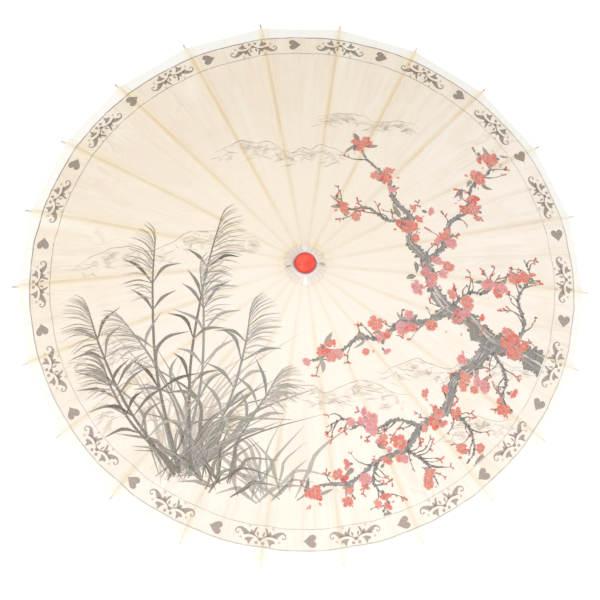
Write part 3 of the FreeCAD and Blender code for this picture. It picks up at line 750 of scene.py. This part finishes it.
# blossom: petals all round a pale tuft, or three or four fanned from a dark calyx seen sideways
def printBlossom(centre, size, hue, layer):
    start = picture.uniform(0, 2 * math.pi)
    lean = turning(-picture.uniform(0, math.pi))
    tilt = lean @ np.diag([1, picture.uniform(0.6, 1.0)]) @ lean.T
    sideways = picture.uniform() < 0.3
    petals = picture.integers(3, 5) if sideways else picture.integers(5, 7)
    gap = 0.62 if sideways else 2 * math.pi / petals
    density = picture.uniform(0.74, 0.90)
    if sideways:
        away = start + gap * (petals - 1) / 2 + math.pi
        printBud(centre - 0.1 * size, size * 0.34, away, tints["twig"], 0.75, layer)
    for petal in range(petals):
        turn = start + gap * petal + picture.normal(0, 0.10)
        own = np.clip(hue * picture.uniform(0.78, 1.24), 0, 0.95)
        length = size * picture.uniform(0.38, 0.50)
        broad = size * picture.uniform(0.17, 0.24)
        printPetal(centre, tilt, turn, length, broad, size * 0.03, own, density, layer + 2 * (petal % 2))
    if not sideways:
        eye, faces = spot(np.zeros(2), size * 0.09)
        addPrint((centre + eye @ tilt, faces), tints["deep"], 0.6, layer + 4)
        for stamen in range(6):
            turn = start + stamen * 1.05 + picture.normal(0, 0.2)
            reach = size * picture.uniform(0.10, 0.20)
            tip = spot(centre + reach * towards(turn) @ tilt, size * 0.035, count=6)
            addPrint(tip, tints["centre"], 0.85, layer + 5)


flowers = 0
for x, y, count, spread, pinkness in clusters:
    centre = np.array([x, y])
    for number in range(1 + count // 3):
        turn = picture.uniform(0, 2 * math.pi)
        base = centre + picture.normal(0, spread * 0.5, 2)
        tip = base + picture.uniform(0.014, 0.026) * towards(turn)
        width = picture.uniform(0.004, 0.008)
        line = [base, (base + tip) / 2 + picture.normal(0, 0.002, 2), tip]
        widths = [0.1 * width, width, 0.8 * width, 0.02 * width]
        leaf = brushStroke(line, widths, 11, rough=0.04, seed=number)
        green = tints["dark"] * picture.uniform(0.9, 1.5)
        addPrint(leaf, green, picture.uniform(0.6, 0.8), layers["streak"])
        addPrint(brushStroke(line, [0.0005, 0.0004, 0.0002], 6), tints["pale"], 0.6, layers["bud"])
    for number in range(count):
        place = centre + picture.normal(0, spread * 0.72, 2)
        hue = tints["pink" if picture.uniform() < pinkness else picture.choice(["red", "coral", "coral"])]
        size = 0.013 + 0.013 * picture.beta(1.6, 2.0)
        if np.hypot(*place) < farthest:
            printBlossom(place, size, hue, layers["blossom"] + 6 * (flowers % 5))
            flowers += 1
    for number in range(count // 2 + 1):
        turn = picture.uniform(0, 2 * math.pi)
        place = centre + spread * picture.uniform(0.7, 1.3) * towards(turn)
        hue = tints["pink" if picture.uniform() < pinkness else "red"]
        length = picture.uniform(0.003, 0.0065)
        printBud(place, length, turn, hue, picture.uniform(0.55, 0.85), layers["bud"])

# silver-grass: dark blades in front and paler ones behind
grass = [
    # root, blades, lowest and highest lean in degrees, reach in metres, ink, density
    ((-0.176, -0.292), 20, 50, 150, (0.12, 0.26), "pale", 0.55),
    ((-0.060, -0.322), 22, 35, 150, (0.05, 0.15), "grey", 0.65),
    ((-0.172, -0.288), 34, 24, 162, (0.06, 0.21), "dark", 0.82),
    ((-0.130, -0.306), 20, 15, 165, (0.04, 0.12), "dark", 0.86),
]
for clump, (root, blades, low, high, reaches, shade, density) in enumerate(grass):
    for number in range(blades):
        turn = math.radians(picture.uniform(low, high))
        base = np.array(root) + picture.normal(0, 1, 2) * np.array([0.019, 0.006])
        reach = picture.uniform(*reaches)
        heading = towards(turn)
        swing = turn - picture.uniform(0.2, 0.9) * np.sign(heading[0] + 1e-6)
        middle = base + heading * reach * 0.55
        tip = middle + reach * 0.5 * towards(swing)
        if not 0.05 < np.hypot(*tip) < farthest:
            continue
        line = [base, (base + middle) / 2 + 0.004 * heading, middle, tip]
        widths = np.array([1.6, 4.2, 6.4, 5.6, 3.0, 0.3]) / 1000 * picture.uniform(0.5, 1.1)
        blade = brushStroke(line, widths, 18, rough=0.04, seed=number)
        addPrint(blade, tints[shade], density * picture.uniform(0.75, 1.0), clump)
        if shade == "dark" and number % 2:
            line = [base + heading * reach * 0.2, middle, tip]
            gleam = brushStroke(line, [0.0002, 0.0007, 0.0001], 10)
            addPrint(gleam, tints["wash"], 0.5, layers["bark"])
stems = {
    "root": np.array([-0.172, -0.288]),
    "ends": [
        (-0.262, -0.060), (-0.214, 0.058), (-0.150, 0.004), (-0.120, 0.082), (-0.078, -0.060),
        (-0.286, -0.128), (-0.040, -0.156), (-0.310, -0.040),
    ],
    "strands": 30,
    "steps": 40,
    "joints": (9, 17, 24),  # steps at which a pale ring is drawn
    "leaves": (0.30, 0.46, 0.60, 0.74),  # shares of the stem
}
for number, end in enumerate(stems["ends"]):
    base = stems["root"] + picture.normal(0, 1, 2) * np.array([0.016, 0.004])
    rise = np.array(end) - base
    shade = tints["dark" if number % 2 else "grey"]
    sway = np.array([0.018 * (-1) ** number, 0.0])
    line = [base, base + rise * 0.4 + sway, base + rise * 0.75 + sway * 0.7, np.array(end)]
    stem = brushStroke(line, [0.0048, 0.0038, 0.0030, 0.0014], 34, rough=0.03, seed=number)
    addPrint(stem, shade, 0.82, layers["stem"], edge=None)
    trail = smoothLine(line, stems["steps"])
    lean = math.atan2(*(trail[-1] - trail[-4])[::-1])
    side = 1 if end[0] < -0.16 else -1
    for place in stems["joints"]:
        arm = 0.0028 * towards(lean + math.pi / 2)
        ring = brushStroke([trail[place] - arm, trail[place] + arm], [0.0008, 0.0008], 3)
        addPrint(ring, tints["wash"], 0.8, layers["bark"], edge=None)
    for strand in range(stems["strands"]):
        begin = trail[stems["steps"] - 1 - strand // 2]
        fall = lean + side * (0.25 + 0.04 * strand) * picture.uniform(0.7, 1.2)
        reach = 0.028 + 0.022 * math.sin(math.pi * strand / stems["strands"])
        middle = begin + 0.5 * reach * towards(fall)
        tip = middle + 0.5 * reach * towards(fall + side * 0.5)
        awn = brushStroke([begin, middle, tip], [0.0010, 0.0014, 0.0003], 8, rough=0.1, seed=strand)
        addPrint(awn, shade, picture.uniform(0.3, 0.75), layers["bark"])
    for place in stems["leaves"]:
        begin = trail[int(place * (stems["steps"] - 1))]
        for way in (-1, 1):
            turn = lean + way * picture.uniform(0.4, 1.0)
            middle = begin + picture.uniform(0.022, 0.036) * towards(turn)
            turn += way * picture.uniform(0.3, 0.8)
            tip = middle + picture.uniform(0.018, 0.036) * towards(turn)
            leaf = brushStroke([begin, middle, tip], [0.0010, 0.0052, 0.0003], 12, rough=0.04, seed=number)
            addPrint(leaf, shade, picture.uniform(0.6, 0.95), layers["stem"])

hills = [
    # left end, right end, height of the peaks, count of peaks, strength
    ((-0.330, 0.020), (-0.070, 0.048), 0.026, 4, 1.0), ((-0.130, 0.190), (0.060, 0.182), 0.024, 3, 1.0),
    ((0.110, -0.150), (0.320, -0.124), 0.022, 4, 0.9), ((-0.060, -0.186), (0.150, -0.176), 0.020, 4, 0.9),
    ((-0.335, -0.110), (-0.200, -0.150), 0.046, 2, 1.2), ((0.020, 0.250), (0.170, 0.238), 0.014, 3, 0.8),
    ((-0.300, -0.190), (-0.080, -0.230), 0.050, 3, 1.2), ((0.190, -0.240), (0.300, -0.200), 0.020, 2, 0.8),
]
for left, rightEnd, peak, count, strength in hills:
    left = np.array(left)
    share = np.linspace(0, 1, 5 * count + 1)
    ridge = left + (np.array(rightEnd) - left) * share[:, None]
    peaks = np.abs(np.sin(share * math.pi * count * 0.5 + 0.4)) * peak
    rise = peaks + picture.normal(0, peak * 0.10, len(share))
    ridge[:, 1] += rise * np.sin(math.pi * share) ** 0.5
    crest = brushStroke(ridge, [0.0004, 0.0014, 0.0008, 0.0012, 0.0003], 60, rough=0.2, seed=count)
    addPrint(crest, tints["pale"], 0.8 * strength, layers["line"])
    # broad thin washes down the slopes, then short rock strokes over them
    for wash in range(7 * count):
        begin = ridge[picture.integers(1, len(ridge) - 1)] - (0, picture.uniform(0.002, peak * 0.7))
        end = begin + np.array([picture.uniform(-0.02, 0.02), -picture.uniform(0.006, 0.6 * peak)])
        broad = picture.uniform(0.003, 0.010)
        line = [begin, (begin + end) / 2 + picture.normal(0, 0.002, 2), end]
        smear = brushStroke(line, [0.2 * broad, broad, 0.1 * broad], 10, rough=0.2, seed=wash)
        addPrint(smear, tints["wash"], 0.26 * strength * picture.uniform(0.5, 1), layers["wash"])
    for mark in range(16 * count):
        begin = ridge[picture.integers(1, len(ridge) - 1)] + picture.normal(0, 0.002, 2)
        begin[1] -= picture.uniform(0.001, peak)
        over = picture.uniform(0.006, 0.022) * picture.choice([-1, 1])
        end = begin + np.array([over, -picture.uniform(0.001, 0.008)])
        line = [begin, (begin + end) / 2 + picture.normal(0, 0.0014, 2), end]
        rock = brushStroke(line, [0.0003, 0.0012, 0.0003], 7, rough=0.15, seed=mark)
        addPrint(rock, tints["pale"], picture.uniform(0.35, 0.75) * strength, layers["line"])
print("painting drawn:", flowers, "blossoms")


# cuts the faces that cross a rib or a fold, then gives each rib's gore its own printed piece
def layPrint(material):
    rows = np.concatenate(printed["rows"])
    rows[:, :2] = paper["shift"] + rows[:, :2] @ paper["pull"].T
    faces = np.concatenate(printed["faces"])
    gauge = np.arctan2(rows[:, 1], rows[:, 0]) / halfStep  # whole numbers at ribs and folds
    spread = gauge[faces]
    low, high = spread.min(1), spread.max(1)
    crossing = (np.floor(low + 1e-6) < np.floor(high - 1e-6)) | (high - low > ribCount)
    mesh = bmesh.new()
    inkLayer = mesh.verts.layers.float_color.new("ink")
    liftLayer = mesh.verts.layers.float.new("lift")
    made = {}
    for place in np.unique(faces[crossing]):
        x, y, *colour, lift = rows[place]
        made[place] = mesh.verts.new((x, y, 0))
        made[place][inkLayer] = colour
        made[place][liftLayer] = lift
    for face in faces[crossing]:
        mesh.faces.new([made[place] for place in face])
    for cut in range(ribCount):
        everything = list(mesh.verts) + list(mesh.edges) + list(mesh.faces)
        x, y = towards(cut * halfStep)
        bmesh.ops.bisect_plane(mesh, geom=everything, dist=1e-7, plane_no=(-y, x, 0))
    bmesh.ops.triangulate(mesh, faces=list(mesh.faces))
    mesh.verts.index_update()
    cutRows = [[*vertex.co[:2], *vertex[inkLayer], vertex[liftLayer]] for vertex in mesh.verts]
    cutFaces = np.array([[vertex.index for vertex in face.verts] for face in mesh.faces])
    mesh.free()
    whole = faces[~crossing]
    triangles = np.concatenate([whole[:, [0, 1, 2]], whole[:, [0, 2, 3]], cutFaces + len(rows)])
    rows = np.concatenate([rows, cutRows])
    points = rows[:, :2]
    a, b, c = (points[triangles[:, corner]] for corner in range(3))
    turned = (b[:, 0] - a[:, 0]) * (c[:, 1] - a[:, 1]) - (b[:, 1] - a[:, 1]) * (c[:, 0] - a[:, 0])
    triangles[turned < 0] = triangles[turned < 0][:, ::-1]
    triangles = triangles[np.abs(turned) > 1e-11]
    middle = points[triangles].mean(1)
    owner = np.round(np.arctan2(middle[:, 1], middle[:, 0]) / ribStep).astype(int) % ribCount
    pieces = []
    for index in range(ribCount):
        mine = triangles[owner == index]
        kept, inverse = np.unique(mine, return_inverse=True)
        placed, attributes = onPaper(points[kept], index, rows[kept, 6])
        attributes["ink"] = rows[kept, 2:6]
        name = f"print_{index + 1:02d}"
        pieces.append(newPiece(name, placed, inverse.reshape(-1, 3), material, attributes))
    return pieces


# printing ink that has sunk into the paper: matt, with the sheet's own tone showing through
printedInk, add = newMaterial("printed_ink_on_paper")
tone, plan, strip = paperTone(add)
inkThere = add("Attribute", attribute_name="ink", out=None).outputs
grainy = mottled(add, plan, 420.0, 0.3, 0.6, least=0.80, detail=3.0)
tone = layOver(add, tone, [(inkThere["Alpha"], grainy, inkThere["Color"])])
paperSurface(add, tone, plan, strip, 0.2)

printPieces = layPrint(printedInk)
print("print laid:", sum(len(piece.data.polygons) for piece in printPieces), "triangles")

for sheet, layer, hinge in zip(paperPieces, printPieces, ribHinges):
    for piece in (sheet, layer):
        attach(piece, hinge["child"])
        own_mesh(piece)
    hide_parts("canopy")


collar = {
    "inner": 0.0068,
    "crown": 0.0172,  # radius where it turns down over the head
    "outer": 0.0288,
    "folds": 27,
    "depth": 0.0011,
    "lift": 0.0009,  # above the paper
    "bulge": 0.06,  # share of its width that it reaches out farther on the -Y side
    "tucks": (0.03, math.pi + 0.13),  # where the two ends go under
    "tuckWidth": 0.062,
    # radius and width of the pinch in a tuck, painted darker, and of the painted shade round the cap
    "pinch": (0.0248, 0.0050),
    "gutter": (0.0166, 0.0011),
    "blank": 0.060,  # side of the square sheet that it is cut from
    # waves round the shaft: count, phase, height
    "uneven": [(3, 0.7, 0.9), (7, 2.1, 0.7), (13, 0.0, 0.35)],
    "strong": [(4, 1.0, 0.25), (11, 2.0, 0.13)],
    "lobes": [(2, 4.0, 0.022), (5, 0.5, 0.016)],
    "columns": 360,
    "rows": 28,
}
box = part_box("collar")
crown = box[1].z - 0.0007

# thin gathered sheet: soft uneven pleats that grow from nothing at the shaft, a scalloped edge,
# and a deeper pinch on each side where its ends are tucked under
rowShare = np.linspace(0, 1, collar["rows"])[:, None]
angle = np.linspace(0, 2 * math.pi, collar["columns"], endpoint=False)[None, :]
uneven, strong, lobes = (
    sum(high * np.sin(count * angle + phase) for count, phase, high in collar[waves])
    for waves in ("uneven", "strong", "lobes")
)
wave = np.sin(collar["folds"] * angle + uneven) * (0.62 + strong)
petal = 1 + 0.030 * np.cos(collar["folds"] / 3 * angle + 0.5 * uneven) + 0.014 * wave + lobes
petal += collar["bulge"] * np.exp(-((angle - 1.5 * math.pi) / 0.30) ** 2)
reach = collar["inner"] + (collar["outer"] * petal - collar["inner"]) * rowShare
chords = [2 * np.sin(0.5 * (angle - tuck)) for tuck in collar["tucks"]]  # from the middle of each tuck
tucks = sum(np.exp(-(chord / collar["tuckWidth"]) ** 2) for chord in chords)
pinch, gutter = (np.exp(-((reach - collar[at][0]) / collar[at][1]) ** 2) for at in ("pinch", "gutter"))
pinch = tucks * pinch
# painted shade beside the cap on its +X and -X sides
gutter = 0.75 * np.exp(-(np.sin(angle) / 0.45) ** 2) * gutter
bed = np.interp(reach, radiusTable, heightTable) + collar["lift"]
slide = np.clip((reach - collar["crown"]) / (collar["outer"] - collar["crown"]), 0, 1)
base = np.where(reach < collar["crown"], crown, np.maximum(bed, crown + (bed - crown) * slide ** 0.8))
growth = np.clip((reach - 0.012) / 0.014, 0, 1) * np.where(reach > 0.0158, 1, 0.15)
height = base + collar["depth"] * growth * (0.5 + 0.5 * wave) - 0.0005 * pinch
height = np.where(reach < collar["crown"], np.minimum(height, box[1].z + 0.0001), height)
points = np.stack([reach * np.cos(angle), reach * np.sin(angle), height], -1).reshape(-1, 3)

# gathered oiled tissue: whitish and slightly see-through, with painted light on its fold tops and
# its +Y and -Y sides, and painted shade down in its folds, on its -X side, in its tucks and round the cap
gatheredTissue, add = newMaterial("gathered_oiled_tissue")
place = add("TexCoord", out="Object")
fold = add("Attribute", attribute_name="fold", out="Vector")
foldLight, shadeMarks, glint = add("SeparateXYZ", {0: fold}, out=None).outputs
stains = [(foldLight, "#FFF8EF")]
for scale, most, shade in ((160.0, 0.45, "#F4DAD0"), (110.0, 0.5, "#F2E6C8")):
    stains.append((mottled(add, place, scale, 0.42, 0.68, most=most, detail=3.0), shade))
stains += [(glint, "#FFFFFF"), (shadeMarks, "#8F8A80")]
tone = layOver(add, linear("#EADACF"), stains)
skin = add("BsdfPrincipled", {"Base Color": tone, "Roughness": 0.35, "IOR": 1.47})
clear = add("BsdfTransparent", {"Color": linear("#FFFBF6")})
seeThrough = add("MapRange", {0: glint, 3: 0.14, 4: 0.03})
tissue = add("MixShader", {0: seeThrough, 1: skin, 2: clear})
add("OutputMaterial", {"Surface": tissue})
# light catches the side that faces +Y or -Y, and the flat crown
glintSide = 0.8 * np.exp(-(np.cos(angle) / 0.16) ** 2) * np.clip((reach - 0.015) / 0.004, 0, 1)
glintRows = np.maximum(glintSide, 0.7 * np.clip((0.0205 - reach) / 0.002, 0, 1))
# painted shade on the -X side, and painted light on the fold tops and the +Y and -Y sides
shadeOnLeft = np.exp(-(2 * np.sin(0.5 * (angle - 0.95 * math.pi)) / 0.75) ** 2)
bright = np.clip(0.45 + 0.4 * wave + 0.2 * np.sin(angle) ** 2 - 0.45 * shadeOnLeft, 0, 1)
foldRows = np.broadcast_arrays(bright, np.maximum(0.95 * pinch, gutter), glintRows * (1 - 0.8 * shadeOnLeft))
collarPiece = newPiece(
    "gathered_collar",
    points,
    gridFaces(collar["rows"], collar["columns"], closed=True)[:, ::-1],
    gatheredTissue,
    {"fold": np.stack(foldRows, -1).reshape(-1, 3)},
)
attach(collarPiece, "frame")
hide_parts("collar")


# closed surface of revolution round the shaft from a profile of (radius, height) points
def turnedPiece(name, profile, material, replaced, columns=96):
    profile = np.asarray(profile, float)
    angle = np.linspace(0, 2 * math.pi, columns, endpoint=False)
    radius, height = profile[:, :1], profile[:, 1:]
    points = np.stack([radius * np.cos(angle), radius * np.sin(angle), height + 0 * angle], -1)
    piece = newPiece(name, points.reshape(-1, 3), gridFaces(len(profile), columns, closed=True), material)
    shell = bmesh.new()
    shell.from_mesh(piece.data)
    bmesh.ops.remove_doubles(shell, verts=list(shell.verts), dist=1e-7)
    bmesh.ops.recalc_face_normals(shell, faces=list(shell.faces))
    shell.to_mesh(piece.data)
    shell.free()
    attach(piece, "frame")
    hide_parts(replaced)


# arc of an ellipse from one profile point to another; it leaves the first along the shaft, or
# across it, and arrives square to that
def profileArc(start, end, alongFirst, count):
    turn = np.linspace(0, math.pi / 2, count)[1:]
    slow, quick = 1 - np.cos(turn), np.sin(turn)
    across, up = (slow, quick) if alongFirst else (quick, slow)
    start, end = np.array(start), np.array(end)
    return list(start + (end - start) * np.column_stack([across, up]))


# profile drawn on from its first point by steps: a point alone for a straight line, or a point,
# whether the arc to it leaves along the shaft, and the arc's count of points
def drawnProfile(first, steps):
    profile = [first]
    for end, *arc in steps:
        profile += profileArc(profile[-1], end, *arc) if arc else [end]
    return profile


# red lacquer brushed over a turned wooden disc: satin, with faint turning rings, and painted
# shade on its rim
redLacquer, add = newMaterial("red_lacquered_wood")
place = add("TexCoord", out="Object")
offAxis = add("VectorMath", {0: place, 1: (1.0, 1.0, 0.0)}, operation="MULTIPLY")
radius = add("VectorMath", {0: offAxis}, operation="LENGTH", out="Value")
rings = {"Vector": place, "Scale": 160.0, "Distortion": 0.6, "Detail": 1.0}
rings = add("TexWave", rings, wave_type="RINGS", rings_direction="Z")
blot = mottled(add, place, 90.0, 0.35, 0.7)
# painted shade round the rim
paintedShading = add("MapRange", {0: radius, 1: 0.0137, 2: 0.0152, 4: 0.8})
tone = layOver(add, linear("#F5493A"), [(blot, "#FC6450"), (paintedShading, "#93403D")])
finishSkin(add, tone, 0.42, rings, 0.12, 0.0004)

# the cap: a low dome inside a rounded rim, with a turned groove between them
cap = {
    "rim": 0.0008,  # rounding of the rim
    "rise": 0.0024,  # of the dome above the rim
    "dome": 0.0134,  # radius out to the groove's bottom
    "domeEdge": 0.0012,
    "groove": 0.0006,
}
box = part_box("cap")
capBase, capTop, capRadius = box[0].z, box[1].z, box[1].x
rimTop = capTop - cap["rise"]
capProfile = drawnProfile((0.0, capBase), [
    [(capRadius - cap["rim"], capBase)],
    [(capRadius, capBase + cap["rim"]), False, 6],
    [(capRadius, rimTop - cap["rim"])],
    [(capRadius - cap["rim"], rimTop), True, 7],
    [(cap["dome"], rimTop - cap["groove"]), False, 6],
    [(cap["dome"] - cap["domeEdge"], rimTop + cap["domeEdge"]), True, 7],
])
edgeRadius, edgeHeight = capProfile[-1]
for share in np.linspace(1, 0, 12)[1:]:  # of the dome's radius
    capProfile += [(edgeRadius * share, edgeHeight + (capTop - edgeHeight) * (1 - share**2))]
turnedPiece("red_cap", capProfile, redLacquer, "cap")
print("collar and cap made")


# split and scraped bamboo: pale straw skin with long fibres, browner at a joint; its tips are
# bleached beyond the paper, and some are singed; towards -X and +Y the tips are less bleached and
# more singed, partly as painted shade like the paper's darker side
bamboo, add = newMaterial("split_bamboo")
place = add("TexCoord", out="Object")
_, _, z = add("SeparateXYZ", {0: place}, out=None).outputs
spun = add("VectorRotate", {"Vector": place, "Angle": halfStep}, rotation_type="Z_AXIS")
spunX, spunY, _ = add("SeparateXYZ", {0: spun}, out=None).outputs
offAxis = add("VectorMath", {0: place, 1: (1.0, 1.0, 0.0)}, operation="MULTIPLY")
radius = add("VectorMath", {0: offAxis}, operation="LENGTH", out="Value")
turn = add("Math", {0: spunY, 1: spunX}, operation="ARCTAN2")
sideways = add("Math", {0: turn, 1: radius}, operation="MULTIPLY")
whichRib = add("Math", {0: turn, 1: ribStep}, operation="DIVIDE")
whichRib = add("Math", {0: whichRib}, operation="FLOOR")
# fibre bundles are about 0.6 mm across and run for 60 mm
strand = add("CombineXYZ", {0: radius, 1: sideways, 2: z})
strand = add("VectorMath", {0: strand, 1: (16.0, 1500.0, 700.0)}, operation="MULTIPLY")
strand = add("TexNoise", {"Vector": strand, "Scale": 1.0, "Detail": 3.0})
own = add("TexWhiteNoise", {"W": whichRib}, noise_dimensions="1D")
dull = add("MapRange", {0: own, 3: 0.0, 4: 0.3})
joint = add("MapRange", {0: own, 3: 0.245, 4: 0.275})
joint = lineAbout(add, radius, joint, 0.0024, 0.0004, 0.7)
# the tips darken towards this side, partly as painted shade
agedAndShadedSide = (-0.6, 0.8, 0.0)
bleach = towardsSide(add, place, agedAndShadedSide, -0.25, 0.30, 0.94, 0.80)
bleached = {0: radius, 1: 0.385, 2: 0.405, 4: bleach}
bleached = add("MapRange", bleached, interpolation_type="SMOOTHSTEP")
singed = add("MapRange", {0: radius, 1: 0.4135, 2: 0.4180}, interpolation_type="SMOOTHSTEP")
darker = add("MapRange", {0: own, 1: 0.35, 2: 0.85, 3: 0.05, 4: 0.70})
agedAndShadedEnds = towardsSide(add, place, agedAndShadedSide, -0.25, 0.30, least=0.25)
stains = [(strand, "#EBD3A0"), (dull, "#C9A66B"), (joint, "#8E6A3A")]
stains += [(bleached, "#F2EADA"), (singed, darker, agedAndShadedEnds, "#7A6A55")]
tone = layOver(add, linear("#C79C5C"), stains)
relief = add("Math", {0: joint, 1: 1.5, 2: strand}, operation="MULTIPLY_ADD")
finishSkin(add, tone, 0.5, relief, 0.4, 0.0003)


# turned wood with its grain along the shaft: streaks drawn out lengthwise, and finer pores
def turnedWood(name, light, dark, gloss, grain):
    material, add = newMaterial(name)
    place = add("TexCoord", out="Object")
    streaks, pores = (grain, grain, grain * 0.05), (grain * 9, grain * 9, grain * 0.4)
    drawn = add("VectorMath", {0: place, 1: streaks}, operation="MULTIPLY")
    streak = mottled(add, drawn, 1.0, 0.32, 0.68, detail=5.0, distortion=0.8)
    fine = add("VectorMath", {0: place, 1: pores}, operation="MULTIPLY")
    pore = add("TexNoise", {"Vector": fine, "Scale": 1.0, "Detail": 2.0})
    deep = add("MapRange", {0: pore, 1: 0.62, 2: 0.75, 4: 0.4})
    tone = layOver(add, linear(dark), [(streak, light), (deep, dark)])
    finishSkin(add, tone, gloss, pore, 0.25, 0.0002)
    return material


bareWood = turnedWood("turned_paulownia", "#D9BC8C", "#B08A57", 0.6, 130.0)
shaftWood = turnedWood("sanded_shaft_wood", "#D8B27A", "#B08550", 0.42, 150.0)
handleWood = turnedWood("stained_varnished_handle", "#9A5F33", "#6A3A1C", 0.28, 110.0)

# drawn steel wire, dulled by handling
steelWire, add = newMaterial("drawn_steel_wire")
place = add("TexCoord", out="Object")
dull = add("TexNoise", {"Vector": place, "Scale": 900.0, "Detail": 3.0})
shine = add("MapRange", {0: dull, 3: 0.28, 4: 0.5})
tone = layOver(add, linear("#8C8A86"), [(dull, "#B9B7B2")])
skin = add("BsdfPrincipled", {"Base Color": tone, "Metallic": 1.0, "Roughness": shine})
add("OutputMaterial", {"Surface": skin})

# the turned handle: rounded knob, necked groove, grip with a pair of fine grooves at each end,
# shoulder, neck with one groove, and the socket that holds the shaft
handle = {
    "grip": 0.033,  # half the straight grip
    "gripRadius": 0.0105,
    "gripEdge": 0.0010,
    "footRadius": 0.0030,  # of the flat under the knob
    "knobRadius": 0.0102,
    "knobCurve": 0.0075,  # heights above the foot at which the knob's curve and its side end
    "knobSide": 0.0125,
    "waistRadius": 0.0078,  # of the necked groove
    "waist": 0.0028,  # heights from the grip's lower end: below it, and up to its full radius
    "swell": 0.0004,
    "shoulder": 0.0040,
    "neckRadius": 0.0084,
    "neckGroove": 0.0008,  # its depth, and half its width
    "neckGrooveAt": 0.0052,  # below the top
    "lip": 0.0012,
    "socketRadius": 0.0064,
    "socketFoot": 0.008,
    "grooves": (-0.0285, -0.0255, 0.0255, 0.0285),
    "grooveDepth": 0.0005,
    "grooveHalf": 0.0006,  # half its width
}
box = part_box("handle")
foot, top = box[0].z, box[1].z
grip, gripRadius, gripEdge = handle["grip"], handle["gripRadius"], handle["gripEdge"]
knobRadius, neckRadius, lip = handle["knobRadius"], handle["neckRadius"], handle["lip"]
socketRadius, socketFoot = handle["socketRadius"], handle["socketFoot"]
neckGroove, neckGrooveAt = handle["neckGroove"], top - handle["neckGrooveAt"]
across = ((0, -handle["grooveHalf"]), (handle["grooveDepth"], 0), (0, handle["grooveHalf"]))
handleProfile = drawnProfile((0.0, foot), [
    [(handle["footRadius"], foot)],
    [(knobRadius, foot + handle["knobCurve"]), False, 14],
    [(knobRadius, foot + handle["knobSide"])],
    [(handle["waistRadius"], -grip - handle["waist"]), True, 12],
    [(gripRadius, -grip + handle["swell"]), False, 10],
    *([(gripRadius - depth, place + along)] for place in handle["grooves"] for depth, along in across),
    [(gripRadius, grip - gripEdge)],
    [(gripRadius - gripEdge, grip), True, 6],
    [(neckRadius, grip + handle["shoulder"]), False, 10],
    [(neckRadius, neckGrooveAt - neckGroove)],
    [(neckRadius - neckGroove, neckGrooveAt)],
    [(neckRadius, neckGrooveAt + neckGroove)],
    [(neckRadius, top - lip)],
    [(neckRadius - lip, top), True, 6],
    [(socketRadius, top)],
    [(socketRadius, socketFoot)],
    [(0.0, socketFoot)],
])
turnedPiece("turned_handle", handleProfile, handleWood, "handle")

finishes = {
    "head": bareWood,
    "runner": bareWood,
    "shaft": shaftWood,
    "head_ring": steelWire,
    "runner_ring": steelWire,
    "stop_pin": steelWire,
    "catch_pin": steelWire,
    "spring_catch": bamboo,
}
for name, node in nodes.items():
    finish = finishes.get(name, bamboo if name.startswith(("rib_", "stretcher_")) else None)
    if finish:
        node.data.materials.clear()
        node.data.materials.append(finish)
print("handle turned, finishes given to the frame's pieces")
